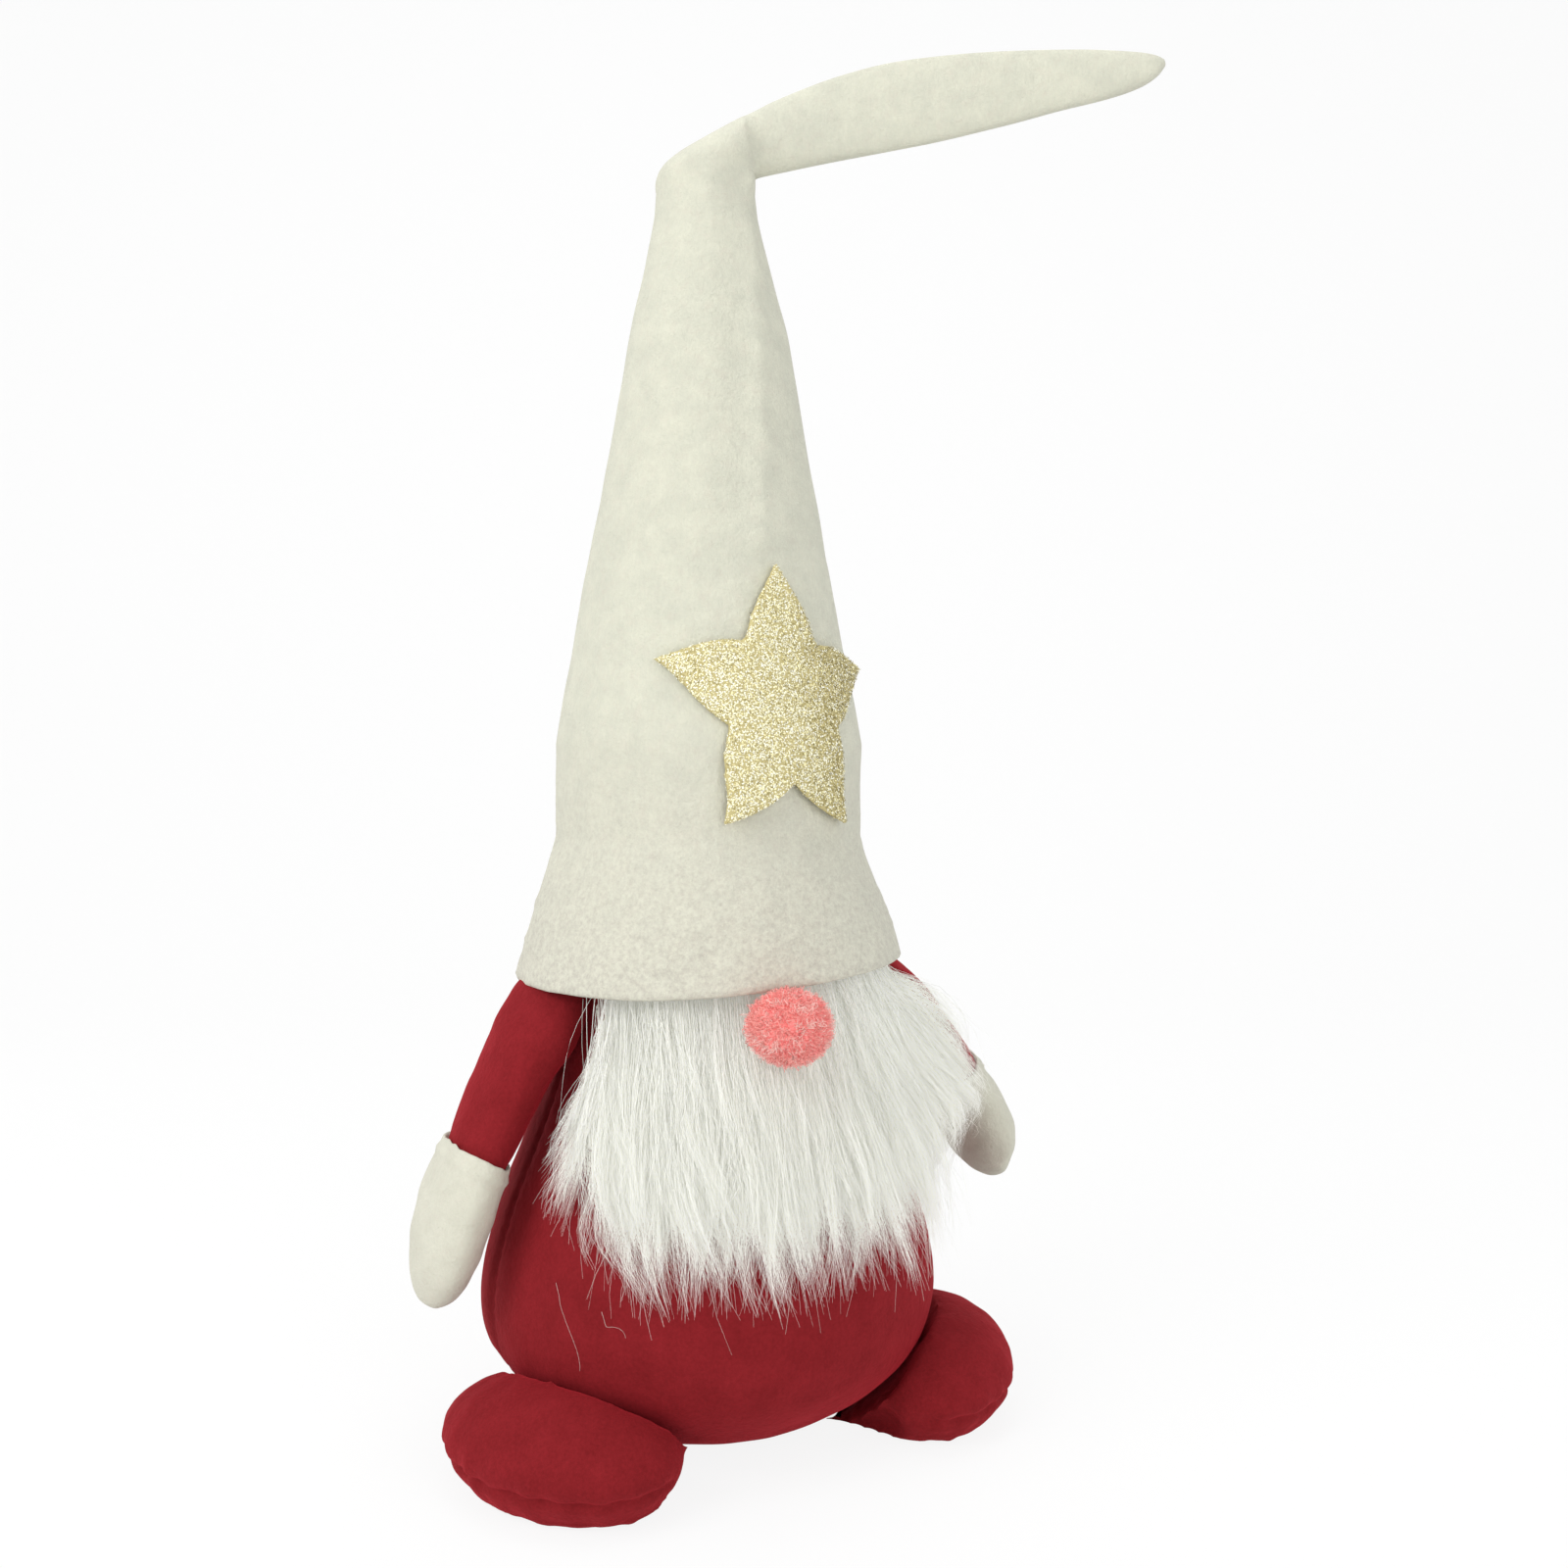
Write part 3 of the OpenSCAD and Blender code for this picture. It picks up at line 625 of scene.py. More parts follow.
# %% [markdown]
# ## The arms
# A sleeve is a soft tube that comes from under the brim, so it has no visible shoulder. The mitten
# is felt: its raw edge lies over the end of the sleeve and a running stitch holds it.

# %% Arms
# the mitten's raw edge, the lining's middle and the stitches, in millimetres from the shoulder
CUFF_EDGE, TUCK, CUFF_STITCH = 54, 58, 59
# half thicknesses and half widths at distances from the shoulder, in millimetres
SLEEVE_THICK = ([-14, -10, -6, 0, 10, 25, 45, 62], [3, 8.5, 11.0, 12.6, 12.8, 12.0, 10.8, 10.2])
SLEEVE_WIDE = ([-14, -10, -6, 0, 10, 25, 45, 62], [7, 14, 18.5, 21, 22, 21.5, 20.5, 20])
MITTEN_THICK = ([54, 60, 72, 85, 93, 99, 102, 104], [11.1, 11.2, 11.8, 11.4, 9.8, 7.2, 5.0, 2.6])
MITTEN_WIDE = ([54, 60, 72, 85, 93, 99, 102, 104], [21.0, 21.2, 22.4, 22.0, 18.8, 13.5, 10, 6])
# a hanging hand droops: how far the middle of the arm moves out, by distance from the shoulder
SAG = {"right": ([-14, 0, 30, 60, 85, 104], [0, 1, 3, 2.5, -0.5, -4.5]),
       "left": ([-14, 0, 25, 60, 85, 104], [1, 5, 10.5, 11, 8, 2])}


def rounded(places, offsets):
    """More points between the given ones, averaged so that no corner is left."""
    fine = np.linspace(places[0], places[-1], 120)
    values = np.interp(fine, places, offsets)
    padded = np.pad(values, 9, mode="edge")
    return fine, np.convolve(padded, np.ones(19) / 19, mode="valid")


SAG_CURVE = {side: rounded(*SAG[side]) for side in SAG}


def sag_at(side, s):
    return np.interp(s, *SAG_CURVE[side])


def arm_frame(side):
    """Where an arm starts, and its ways out, front to back and down."""
    hand = 1 if side == "left" else -1
    tilt = math.radians(TILT[side])
    down = np.array([hand * math.sin(tilt), 0, -math.cos(tilt)])
    out = np.array([hand * math.cos(tilt), 0, math.sin(tilt)])
    return SHOULDER[side], out, np.array([0, hand, 0]), down


def arm_points(side, places, thick, wide, around=64):
    start, out, across, down = arm_frame(side)
    turn = np.linspace(0, 2 * math.pi, around, endpoint=False)
    rings = []
    for s in places:
        a, b = np.interp(s, *thick) * MM, np.interp(s, *wide) * MM
        middle = start + down * (s * MM) + out * (sag_at(side, s) * MM)
        rings.append(middle + np.outer(np.cos(turn) * a, out) + np.outer(np.sin(turn) * b, across))
    return np.vstack(rings)


def along_arm(side, points):
    """Distance of each point from the shoulder in millimetres, and its angle around the arm."""
    start, out, across, down = arm_frame(side)
    s = (points - start) @ down / MM
    return s, np.arctan2((points - start) @ across, (points - start) @ out - sag_at(side, s) * MM)


def blend_arm(piece, side):
    start, out, across, down = arm_frame(side)
    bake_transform(piece)


def make_sleeve(side):
    places = np.linspace(-14, 60, 30)
    points = arm_points(side, places, SLEEVE_THICK, SLEEVE_WIDE)
    piece = new_piece(side + "_sleeve_fleece", points, ring_faces(30, 64, True, True), FLEECE)
    stuff(piece, 3.0, 4.0, 1.8)
    points = coordinates(piece)
    s, turn = along_arm(side, points)
    folds = np.sin(s / 9 + 2.5 * soft_noise(points, 22, 51)) * np.exp(-((s - 20) / 26) ** 2)
    depth = 0.5 * folds + 0.8 * soft_noise(points, 24, 53) + 0.4 * soft_noise(points, 9, 55)
    depth -= 0.5 * smooth((s - 50) / 6)
    dent(piece, depth)
    blend_arm(piece, side)
    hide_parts(side + "_sleeve_outer", side + "_sleeve_inner", side + "_arm_stuffing")
    return piece


def make_mitten(side):
    places = np.concatenate([np.linspace(CUFF_EDGE, 96, 22), [98.5, 100.5, 102, 103.2, 104]])
    points = arm_points(side, places, MITTEN_THICK, MITTEN_WIDE, 96)
    inside = arm_points(side, [62, 55], MITTEN_THICK, MITTEN_WIDE, 96)
    start, out, across, down = arm_frame(side)
    middle = start + down * (TUCK * MM) + out * (sag_at(side, TUCK) * MM)
    inside = middle + (inside - middle) * 0.80
    points = np.vstack([inside, points])
    piece = new_piece(side + "_mitten_felt", points, ring_faces(len(points) // 96, 96, True, True), MITTEN_FELT)
    piece.modifiers.new("finer", "SUBSURF").levels = 1
    settle(piece)
    points = coordinates(piece)
    s, turn = along_arm(side, points)
    edge = np.exp(-((s - CUFF_EDGE) / 3) ** 2)
    ragged = soft_noise(np.c_[np.cos(turn), np.sin(turn), turn * 0] * 0.02, 4.5, 61) * 1.0
    points = points + down * ((ragged * edge) * MM)[:, None]
    move_to(piece, points)
    pull = np.exp(-((s - CUFF_STITCH) / 1.3) ** 2)
    depth = 0.7 * soft_noise(points, 20, 63) + 0.35 * soft_noise(points, 7, 65)
    depth -= 0.7 * pull * (s < 66)
    depth += 0.2 * edge * soft_noise(points, 6, 67)
    dent(piece, np.where(s < CUFF_EDGE - 1, 0, depth))
    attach(piece, side + "_arm")
    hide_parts(side + "_mitten_outer", side + "_mitten_inner")
    return piece


sleeves = [make_sleeve(side) for side in ("right", "left")]
mittens = [make_mitten(side) for side in ("right", "left")]
print("sleeves:", [len(p.data.vertices) for p in sleeves], "mittens:", [len(p.data.vertices) for p in mittens])

# %% [markdown]
# ## Fibres
# A fibre is a three-sided tube that thins towards its tip. Thousands share one mesh, built straight
# from arrays because a loop in Python would be slow.

# %% Fibres from paths
def fibres(name, paths, radius_mm, material, thin=0.25):
    """paths is an array of fibres, each a row of points."""
    count, steps = paths.shape[:2]
    along = np.gradient(paths, axis=1)
    along /= np.linalg.norm(along, axis=2)[..., None] + 1e-12
    side = np.cross(along, [0.31, 0.17, 0.93])
    side /= np.linalg.norm(side, axis=2)[..., None] + 1e-12
    other = np.cross(along, side)
    width = np.broadcast_to(radius_mm, (count,))[:, None] * MM * np.linspace(1, thin, steps)[None, :]
    corners = [paths + width[..., None] * (math.cos(a) * side + math.sin(a) * other)
               for a in np.radians([90, 210, 330])]
    points = np.stack(corners, axis=2).reshape(-1, 3)
    base = (np.arange(count)[:, None, None] * steps + np.arange(steps - 1)[None, :, None]) * 3
    corner = np.arange(3)[None, None, :]
    a, b = base + corner, base + (corner + 1) % 3
    quads = np.stack([a, b, b + 3, a + 3], axis=-1).reshape(-1, 4)
    mesh = bpy.data.meshes.new(name)
    mesh.vertices.add(len(points))
    mesh.vertices.foreach_set("co", points.ravel())
    mesh.loops.add(quads.size)
    mesh.loops.foreach_set("vertex_index", quads.ravel().astype(np.int32))
    mesh.polygons.add(len(quads))
    mesh.polygons.foreach_set("loop_start", np.arange(0, quads.size, 4, dtype=np.int32))
    mesh.update(calc_edges=True)
    mesh.shade_smooth()
    mesh.materials.append(material)
    piece = bpy.data.objects.new(name, mesh)
    bpy.context.scene.collection.objects.link(piece)
    return piece


def around_axis(r, angle, z):
    return np.stack([r * np.sin(np.radians(angle)), -r * np.cos(np.radians(angle)), z], axis=-1)


# %% [markdown]
# ## The beard
# Long-pile faux fur is combed downward, and its hairs cling together in locks. Each lock has one
# path: it leaves the backing, swells away from the body, and narrows to a tip. Its hairs start
# spread out and draw together. Low hairs lie under high ones, which gives the beard its thickness.

# %% Beard
rng = np.random.default_rng(7)
STEPS = 9                            # points along each hair
BACKING_WIDE, BACKING_HIGH = 60, 26  # points across and down the backing
TIP_ANGLE = [-66, -58, -48, -34, -18, 0, 18, 36, 53, 62, 74]
TIP_HEIGHT = np.array([98, 84, 66, 62, 61, 61, 60, 60, 61, 76, 96]) * MM


def new_locks(count, loose=False):
    """Where each lock starts and ends, how far it swells out and how it waves."""
    lock = {"start": rng.uniform(-59, 58, count), "start_z": 0.158 - 0.060 * rng.random(count) ** 1.2}
    right = np.maximum(lock["start"], 0)
    fan = lock["start"] * np.where(lock["start"] < 0, 0.80, 1.14) + 0.42 * np.maximum(right - 18, 0)
    lock["tip"] = fan + rng.normal(0, 7 if loose else 3.5, count)
    lowest = np.interp(lock["tip"], TIP_ANGLE, TIP_HEIGHT)
    length = rng.uniform(0.036, 0.090, count)
    ragged = 0.031 * rng.random(count) ** (1.6 if loose else 0.75)
    lock["tip_z"] = np.maximum(lock["start_z"] - length, lowest + ragged)
    lock["swell"] = 2 + 12 * rng.random(count) * smooth((lock["start_z"] - 0.085) / 0.06)
    lock["wave"], lock["beat"] = rng.uniform(0, 2 * math.pi, count), rng.uniform(3.5, 7.5, count)
    return lock


def side_wisps(count):
    """Thin locks that stray from the beard's edge, over the body on the gnome's right."""
    lock = new_locks(count)
    lock["start"] = rng.uniform(-61, -54, count)
    lock["start_z"] = rng.uniform(0.128, 0.156, count)
    share = rng.random(count)
    lock["tip"] = -61 - 9 * share + rng.normal(0, 1.5, count)
    lock["tip_z"] = 0.088 + 0.014 * share + rng.normal(0, 0.005, count)
    lock["swell"] = rng.uniform(2, 7, count)
    return lock


def hang(lock, t):
    """Points along locks, at shares t of their length."""
    get = {key: values[:, None] for key, values in lock.items()}
    angle = get["start"] + (get["tip"] - get["start"]) * t ** 0.85
    z = get["start_z"] + (get["tip_z"] - get["start_z"]) * t
    angle = angle + 2.4 * np.sin(t * get["beat"] + get["wave"]) * t
    over_arm = smooth((angle - 40) / 26) * smooth((z - 0.080) / 0.03) * 26
    bow = np.sin(math.pi * np.minimum(t * 0.66 + 0.05, 0.9))
    lift = 1.6 + get["swell"] * bow + over_arm * t ** 0.6 + 1.3 * np.cos(t * get["beat"] + get["wave"]) * t
    return around_axis(body_at(z) + lift * MM, angle, z)


def fill_locks(lock, each, root_mm, tip_mm, wild=1.0):
    """Hairs around each lock's path, spread at the root and close at the tip, of uneven length."""
    every = {key: np.repeat(values, each) for key, values in lock.items()}
    count = len(every["start"])
    t = np.linspace(0, 1, STEPS)[None, :]
    hairs = hang(every, t * rng.uniform(0.72, 1.08, (count, 1)))
    spread = (root_mm * (1 - smooth(t)) + tip_mm * smooth(t)) * MM
    way = rng.normal(0, 0.5, (count, 1, 3)) * [1, 1, 1.4]
    drift = rng.normal(0, 1, (count, 1, 3)) * 1.3 * MM * wild * t[..., None] ** 2
    curl = rng.normal(0, 0.5, (count, 1, 3)) * MM * wild * np.sin(t * 7)[..., None]
    hairs = hairs + way * spread[..., None] + drift + curl
    # no hair goes through the cloth behind it
    r = np.hypot(hairs[..., 0], hairs[..., 1])
    least = body_at(hairs[..., 2]) + 0.8 * MM
    hairs[..., :2] *= np.maximum(1, least / r)[..., None]
    # nor out through the brim
    r = np.hypot(hairs[..., 0], hairs[..., 1])
    high = hairs[..., 2] > BRIM_Z - 0.002
    hairs[..., :2] *= np.where(high, np.minimum(1, (BRIM_R - 0.0045) / r), 1)[..., None]
    return hairs


def make_backing():
    """The cloth that the hair grows from: two curved nets of points, joined around their rim."""
    sheets = []
    turn = np.linspace(-58, 58, BACKING_WIDE)
    for lift in (0.5, 3.2):
        rows = []
        for i, z in enumerate(np.linspace(0.156, 0.096, BACKING_HIGH)):
            shrink = 1 - 0.16 * smooth((i / (BACKING_HIGH - 1) - 0.4) / 0.6)
            rows.append(around_axis(body_at(z) + lift * MM, turn * shrink, np.full(BACKING_WIDE, z)))
        sheets.append(np.vstack(rows))
    w, h = BACKING_WIDE, BACKING_HIGH
    front = [(i * w + j, i * w + j + 1, (i + 1) * w + j + 1, (i + 1) * w + j)
             for i in range(h - 1) for j in range(w - 1)]
    n = w * h
    faces = [tuple(n + k for k in f) for f in front] + [f[::-1] for f in front]
    rim = ([j for j in range(w)] + [i * w + w - 1 for i in range(1, h)]
           + [(h - 1) * w + j for j in range(w - 2, -1, -1)] + [i * w for i in range(h - 2, 0, -1)])
    faces += [(rim[k], rim[(k + 1) % len(rim)], n + rim[(k + 1) % len(rim)], n + rim[k]) for k in range(len(rim))]
    backing = new_piece("beard_backing_cloth", np.vstack(sheets), faces, HAIR_BASE)
    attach(backing, "body")
    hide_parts("beard_backing")


def make_beard():
    pieces = []
    locks = 620
    hairs = np.vstack([
        fill_locks(new_locks(locks), 38, 5.5, 1.1),
        fill_locks(new_locks(locks * 4, loose=True), 1, 8, 6, 2.2),
        fill_locks(side_wisps(26), 26, 3.0, 1.2, 1.2)])
    tone = rng.choice(4, len(hairs), p=[0.36, 0.32, 0.2, 0.12])
    # each tone is split in three, which keeps every piece light enough to handle
    for k, third in [(k, third) for k in range(4) for third in range(3)]:
        chosen = hairs[tone == k][third::3]
        width = rng.uniform(0.06, 0.12, len(chosen))
        pieces.append(fibres("beard_hair_%d_%d" % (k, third), chosen, width, HAIR[k], 0.2))
    for piece in pieces:
        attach(piece, "body")
    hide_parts("beard_pile")
    return pieces


make_backing()
beard = make_beard()
print("beard triangles:", [len(p.data.polygons) * 2 for p in beard])

# %% [markdown]
# ## The nose
# A pompom is a bundle of short yarn fibres cut to a ball. They point outward from the middle with a
# little disorder, so the outline is soft.

# %% Nose
def make_nose():
    low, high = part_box("nose_pompom")
    centre = np.array([(low.x + high.x) / 2, low.y + 0.0135, (low.z + high.z) / 2]) - RIGHT * 0.0014
    squeeze = np.array([1, 1, 0.88])
    bpy.ops.mesh.primitive_uv_sphere_add(segments=48, ring_count=24, radius=0.0118, location=tuple(centre))
    core = bpy.context.object
    core.scale = squeeze
    core.name = "nose_core"
    core.data.materials.append(POMPOM[1])
    core.data.shade_smooth()
    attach(core, "body")
    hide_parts("nose_pompom")
    count = 9000
    way = rng.normal(0, 1, (count, 3))
    way /= np.linalg.norm(way, axis=1)[:, None]
    bent = way + rng.normal(0, 0.75, (count, 3))
    bent /= np.linalg.norm(bent, axis=1)[:, None]
    t = np.linspace(0, 1, 4)[None, :, None]
    length = rng.uniform(1.2, 3.0, count)[:, None, None] * MM
    curl = rng.normal(0, 0.8 * MM, (count, 1, 3))
    paths = centre + (way[:, None] * 0.0115 + bent[:, None] * length * t + curl * np.sin(t * 3)) * squeeze
    patch = soft_noise(way * 12 * MM, 3.2, 83) + rng.normal(0, 0.12, count)
    tone = np.digitize(patch, np.quantile(patch, [0.45, 0.75]))
    for k, material in enumerate(POMPOM):
        fuzz = fibres("nose_fuzz_%d" % k, paths[tone == k], rng.uniform(0.12, 0.2, (tone == k).sum()), material, 0.4)
        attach(fuzz, "body")
    return core


nose = make_nose()
print("nose at", [round(float(v), 4) for v in nose.location])

# %% [markdown]
# ## The star
# Glitter foam is a thin soft sheet covered in tiny foil flakes. The flakes lie nearly flat but each
# at its own tilt, so some flash and others are dark. They are real little plates here, in four
# tones of gold foil, scattered over a star cut from foam.

# %% Star
FOAM = new_material("foam_under_glitter", Base_Color=linear("#C4B780"), Roughness=0.55)[0]
FLAKES = [new_material("gold_foil_" + tone, Base_Color=linear(colour), Metallic=metal, Roughness=rough)[0]
          for tone, colour, metal, rough in (
              ("pale", "#FFFCDE", 0.15, 0.35), ("gold", "#F9F1BC", 0.25, 0.3),
              ("bronze", "#A39661", 0.6, 0.35), ("bright", "#FFFFF2", 0.0, 0.4))]


def scattered(piece, count, likely):
    """Points spread over a piece's surface, with the normals there. likely gives each face's share."""
    piece.data.calc_loop_triangles()
    points, every = coordinates(piece), normals(piece)
    corners = np.array([t.vertices[:] for t in piece.data.loop_triangles])
    a, b, c = points[corners[:, 0]], points[corners[:, 1]], points[corners[:, 2]]
    area = np.linalg.norm(np.cross(b - a, c - a), axis=1)
    area = area * likely((a + b + c) / 3, every[corners[:, 0]])
    pick = rng.choice(len(area), count, p=area / area.sum())
    u, v = rng.random((2, count, 1))
    u, v = np.where(u + v > 1, 1 - u, u), np.where(u + v > 1, 1 - v, v)
    where = a[pick] + u * (b[pick] - a[pick]) + v * (c[pick] - a[pick])
    return where, every[corners[pick, 0]]


STANDS_OFF = 34.0      # degrees from straight ahead


def shape_star(foam):
    """Gives the CAD star the outline of a cut-out one, and lets one point stand off the hat."""
    remesh(foam, 0.7)
    smoother = foam.modifiers.new("round", "SMOOTH")
    smoother.iterations, smoother.factor = 9, 0.6
    settle(foam)
    points = coordinates(foam)
    angle, r = angles_of(points), np.hypot(points[:, 0], points[:, 1])
    middle = (angle.min() + angle.max()) / 2
    reach = np.ptp(points[:, 2]) / 1.809      # from the middle of a regular star to its points
    middle_z = points[:, 2].max() - reach
    # across the hat's curve it is as wide as a regular star of this height
    across, up = np.radians(angle - middle) * r, points[:, 2] - middle_z
    across *= 0.951 * reach / across.max()
    # its sides bulge between a point and a notch
    from_point = np.abs((np.degrees(np.arctan2(across, up)) + 36) % 72 - 36)
    swell = 1 + 0.09 * np.sin(np.radians(5 * from_point)) * smooth((np.hypot(across, up) - 3 * MM) / (7 * MM))
    angle, z = middle + np.degrees(across * swell / r), middle_z + up * swell
    # foam is springy, so the point on the gnome's left stands straight off the round hat
    bent = around_axis(r, np.minimum(angle, STANDS_OFF), z)
    along = np.array([math.cos(math.radians(STANDS_OFF)), math.sin(math.radians(STANDS_OFF)), 0])
    past = np.radians(np.maximum(angle - STANDS_OFF, 0)) * r
    move_to(foam, bent + past[:, None] * along)


def mostly_front(where, normal):
    """How likely a spot is to hold a flake: high on the star's front, low on its back and edges."""
    return 0.08 + np.clip((where * [1, 1, 0] * normal).sum(1) / 0.05, 0, 1)


def lay_flakes(foam):
    """Corners of every flake, and which tone of foil it is."""
    count = 17000
    where, normal = scattered(foam, count, mostly_front)
    tilt = normal + rng.normal(0, 0.26, (count, 3))
    tilt /= np.linalg.norm(tilt, axis=1)[:, None]
    side = np.cross(tilt, rng.normal(0, 1, (count, 3)))
    side /= np.linalg.norm(side, axis=1)[:, None]
    other = np.cross(tilt, side)
    half = rng.uniform(0.17, 0.36, (count, 1)) * MM
    middle = where + normal * rng.uniform(0.05, 0.45, (count, 1)) * MM
    quads = np.stack([middle + half * (a * side + b * other) for a, b in ((1, 0), (0, 1), (-1, 0), (0, -1))], axis=1)
    # painted shade: towards the gnome's left the flakes are drawn more often in dark bronze foil and less often in
    # the pale tones
    thin = smooth((where[:, 0] - 2 * MM) / (22 * MM))
    chance = rng.uniform(0, 1, count)
    tone = (chance > 0.42 - 0.22 * thin).astype(int) + (chance > 0.62 - 0.26 * thin) + (chance > 0.74 + 0.06 * thin)
    return quads, tone


# %% Make the star
def make_star():
    foam = copy_of("star_foam", ["star"], FOAM)
    shape_star(foam)
    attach(foam, "body")
    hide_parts("star")
    quads, tone = lay_flakes(foam)
    glitter = []
    for k, material in enumerate(FLAKES):
        chosen = quads[tone == k]
        faces = np.arange(len(chosen) * 4).reshape(-1, 4)
        flakes = new_piece("star_glitter_%d" % k, chosen.reshape(-1, 3), faces.tolist(), material, shade=False)
        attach(flakes, "body")
        glitter.append(flakes)
    return glitter


glitter = make_star()
print("star flakes:", [len(g.data.polygons) for g in glitter])

# %% [markdown]
# ## Pieces that stay inside
# The wire, the pellet bag and the pellets are hidden, and keep their CAD shapes. They get plain
# versions of what they are made of.

# %% Hidden pieces
WIRE = new_material("galvanised_wire", Base_Color=linear("#A9ACAE"), Metallic=1.0, Roughness=0.35)[0]
CALICO = new_material("bag_calico", Base_Color=linear("#B9A98A"), Roughness=0.9)[0]
PELLETS = new_material("polypropylene_pellets", Base_Color=linear("#E9E7E0"), Roughness=0.4)[0]


def finish_node(name, material):
    data = frame["nodes"][name].data
    data.materials.clear()
    data.materials.append(material)


for name, material in (("hat_wire", WIRE), ("tip_wire", WIRE), ("weight_bag", CALICO), ("weight_pellets", PELLETS)):
    finish_node(name, material)

# %% [markdown]
# ## Cuff stitches
# A running stitch in cream thread goes around each mitten a few millimetres from its raw edge.

# %% Stitches
def make_stitches(side):
    start, out, across, down = arm_frame(side)
    dashes = 22
    s = CUFF_STITCH
    thick, wide = np.interp(s, *MITTEN_THICK) * MM, np.interp(s, *MITTEN_WIDE) * MM
    paths = []
    for i in range(dashes):
        turn = 2 * math.pi * (i + np.linspace(0.12, 0.72, 6)) / dashes + rng.normal(0, 0.01)
        arch = 0.1 * MM - 0.55 * MM * np.abs(np.linspace(-1, 1, 6)) ** 4
        lean = rng.normal(0, 0.25) * MM
        paths.append(start + down * (s * MM + lean) + out * (sag_at(side, s) * MM)
                     + np.outer(np.cos(turn) * (thick + arch), out) + np.outer(np.sin(turn) * (wide + arch), across))
    piece = fibres(side + "_cuff_thread", np.array(paths), 0.34, THREAD_CREAM, 1.0)
    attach(piece, side + "_arm")
    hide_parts(side + "_cuff_stitches")
    return piece


threads = [make_stitches(side) for side in ("right", "left")]
print("cuff threads:", [p.name for p in threads])

# %% [markdown]
# ## Stray fibres
# Hair sheds and static holds it on the fleece, so a few pale hairs lie on the body below the beard.

# %% Strays
def make_strays():
    tracks = []
    t = np.linspace(0, 1, 28)
    # each row: start angle, height, turn, drop in millimetres, curl
    for start, z, turn, drop, curl in ((-61, 66, 7, 24, 2.0), (-48, 58, 5, 7, 1.2)):
        swing = curl * np.sin(t * (5 + curl) + start) * t
        angle = start + turn * t + swing
        heights = (z - drop * t + curl * 1.2 * np.cos(t * 6 + z)) * MM
        tracks.append(around_axis(body_at(heights) + 1.4 * MM, angle, heights))
    piece = fibres("stray_hairs", np.array(tracks), 0.05, HAIR[3], 0.6)
    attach(piece, "body")
    return piece


print("strays:", len(make_strays().data.polygons), "faces")

# %% [markdown]
# ## The set
# A pale sweep stands behind and under the gnome. Large soft lamps light it from the front left,
# with a weaker one on the right. The camera is level, at about half the gnome's height.

# %% Floor, lamps and camera
def background_rays(tree):
    """1 for the rays that see the plain background: the camera's, and those that mirror or pass through."""
    path = add(tree, "LightPath")
    total = path.outputs["Is Camera Ray"]
    for ray in ("Is Glossy Ray", "Is Transmission Ray"):
        total = add(tree, "Math", {0: total, 1: path.outputs[ray]}, operation="MAXIMUM").outputs[0]
    return total


def white_paper():
    """White seamless paper. The camera sees it nearly white, with only a trace of the gnome's shadow."""
    material, tree, surface = new_material("white_paper", Base_Color=linear("#F2F2F1"), Roughness=0.95)
    glow = add(tree, "Emission", Color=(1, 1, 1, 1), Strength=1.0)
    share = add(tree, "Math", {0: background_rays(tree)}, operation="MULTIPLY")
    share.inputs[1].default_value = 0.88
    mix = add(tree, "MixShader")
    tree.links.new(share.outputs[0], mix.inputs[0])
    tree.links.new(surface.outputs[0], mix.inputs[1])
    tree.links.new(glow.outputs[0], mix.inputs[2])
    out = next(n for n in tree.nodes if n.type == "OUTPUT_MATERIAL")
    tree.links.new(mix.outputs[0], out.inputs["Surface"])
    return material


BACKDROP = white_paper()


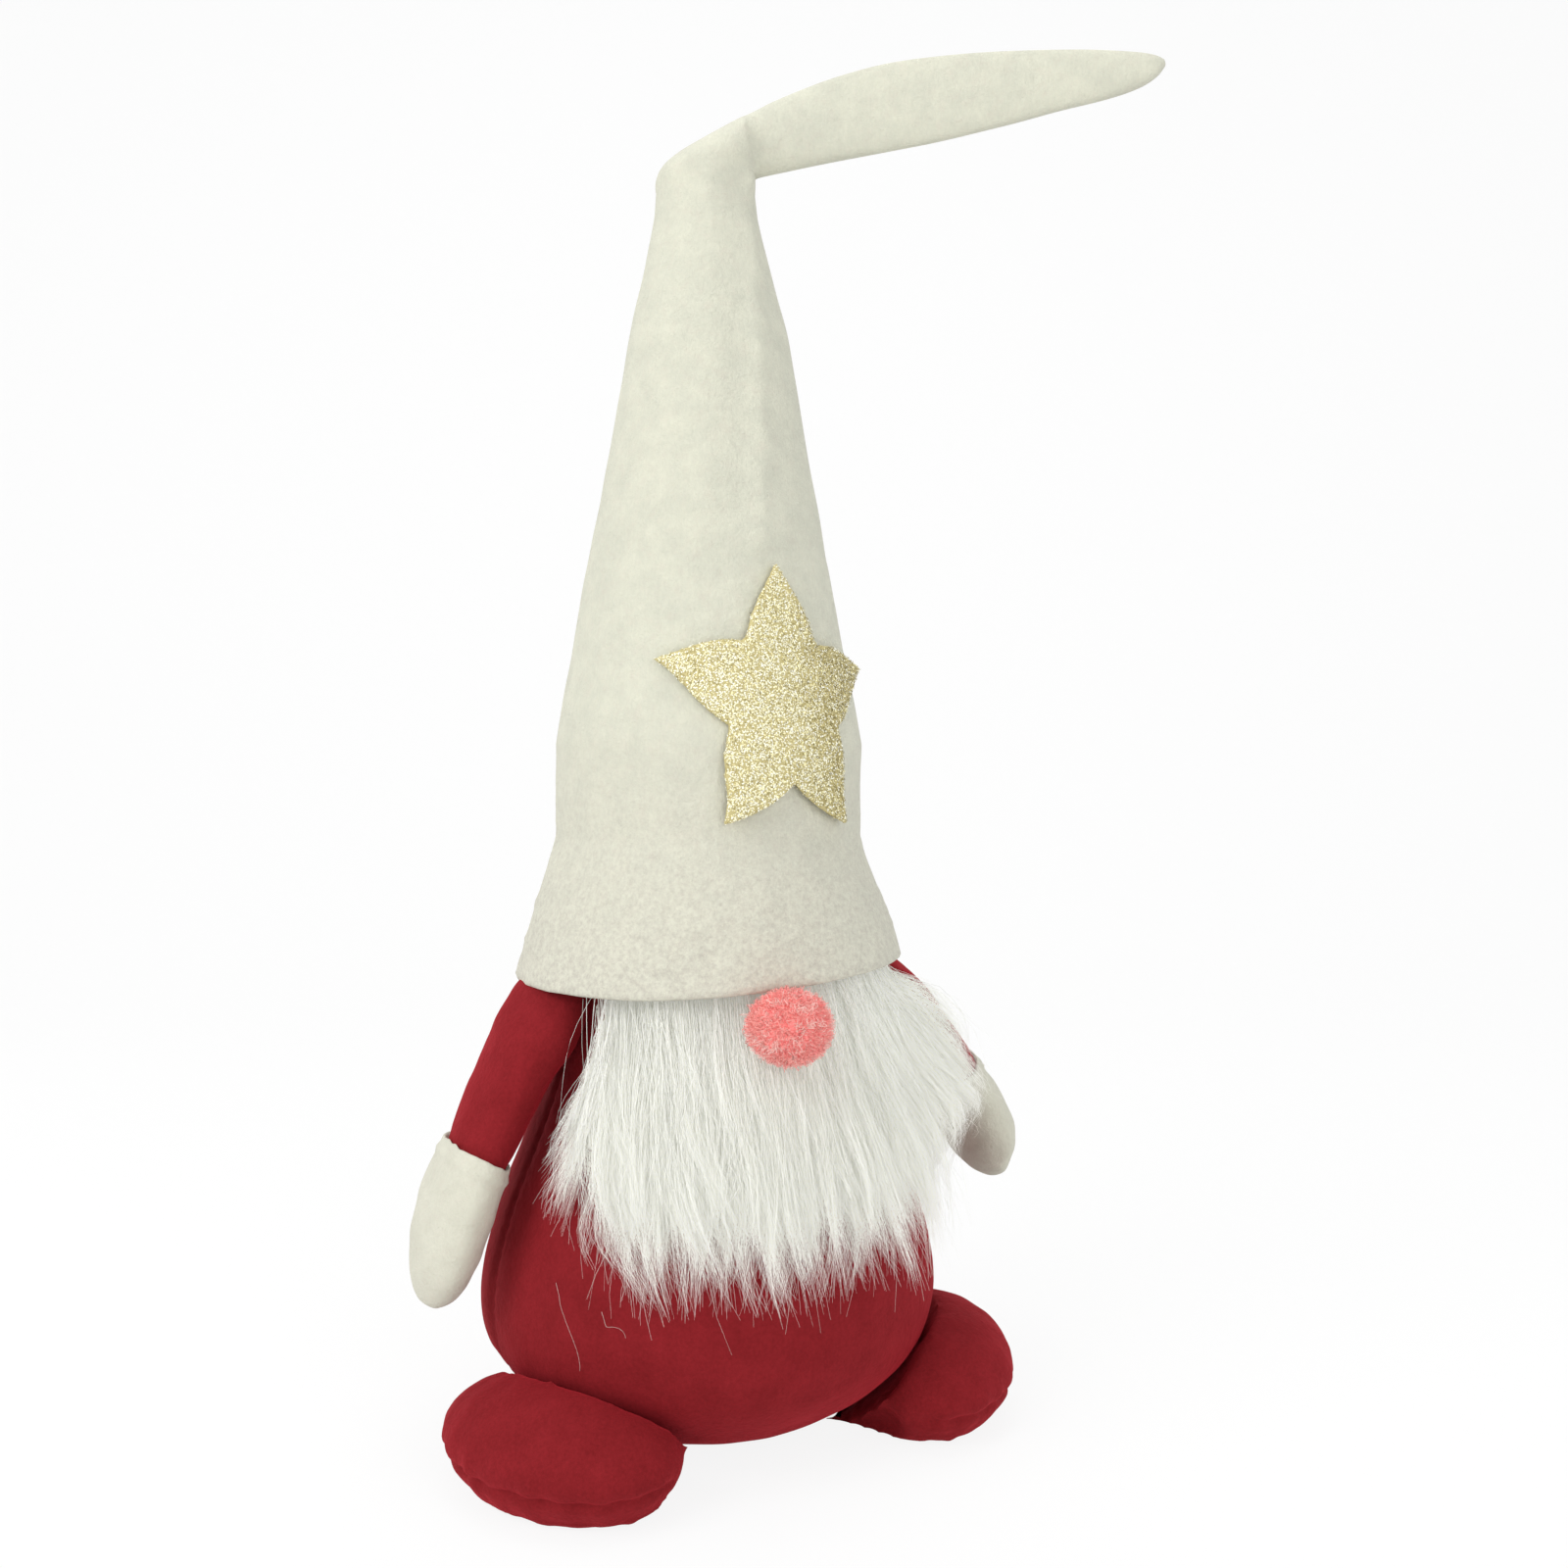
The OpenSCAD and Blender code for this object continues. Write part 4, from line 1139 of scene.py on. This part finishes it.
def make_backdrop():
    side = np.cross(FACE, [0, 0, 1])
    profile = [(-1.6, 0), (0.8, 0)] + [(0.8 + 0.5 * math.sin(a), 0.5 - 0.5 * math.cos(a))
                                      for a in np.radians(np.arange(10, 91, 10))] + [(1.3, 2.6)]
    points, faces = [], []
    for i, (far, up) in enumerate(profile):
        for wide in (-4.0, 4.0):
            points.append(FACE * far + side * wide + np.array([0, 0, up]))
        if i:
            faces.append((2 * i - 2, 2 * i - 1, 2 * i + 1, 2 * i))
    new_piece("backdrop", points, faces, BACKDROP)


def lamp(name, where, size, power, aim=(0, 0, 0.2)):
    light = bpy.data.lights.new(name, "AREA")
    light.shape, light.size, light.energy = "SQUARE", size, power
    holder = bpy.data.objects.new(name, light)
    bpy.context.scene.collection.objects.link(holder)
    holder.location = where
    holder.rotation_euler = (Vector(aim) - Vector(where)).to_track_quat("-Z", "Y").to_euler()


make_backdrop()
lamp("key", tuple(-FACE * 0.8 - RIGHT * 1.0 + [0, 0, 1.0]), 0.9, 12)
lamp("fill", tuple(-FACE * 1.1 + RIGHT * 0.8 + [0, 0, 0.6]), 1.0, 6)
lamp("top", tuple(FACE * 0.1 + [0, 0, 1.5]), 1.0, 6)
world = bpy.data.worlds.new("studio")
bpy.context.scene.world = world
world.use_nodes = True
world.node_tree.nodes.clear()
soft = add(world.node_tree, "Background", Color=linear("#F4F6F8"), Strength=0.62)
plain = add(world.node_tree, "Background", Color=(1, 1, 1, 1), Strength=1.0)
both = add(world.node_tree, "MixShader")
world.node_tree.links.new(background_rays(world.node_tree), both.inputs[0])
world.node_tree.links.new(soft.outputs[0], both.inputs[1])
world.node_tree.links.new(plain.outputs[0], both.inputs[2])
add(world.node_tree, "OutputWorld", {"Surface": both.outputs[0]})

# how far the camera stands back, to the side and up
CAMERA_BACK, CAMERA_ASIDE, CAMERA_UP = 0.490, 0.0266, 0.218
lens = bpy.data.cameras.new("camera")
lens.lens, lens.sensor_width = 31.5, 36
camera = bpy.data.objects.new("camera", lens)
bpy.context.scene.collection.objects.link(camera)
camera.location = tuple(-FACE * CAMERA_BACK + RIGHT * CAMERA_ASIDE + [0, 0, CAMERA_UP])
camera.rotation_euler = (math.pi / 2, 0, -math.atan2(FACE[0], FACE[1]))
bpy.context.scene.camera = camera
bpy.context.scene.view_settings.view_transform = "Standard"
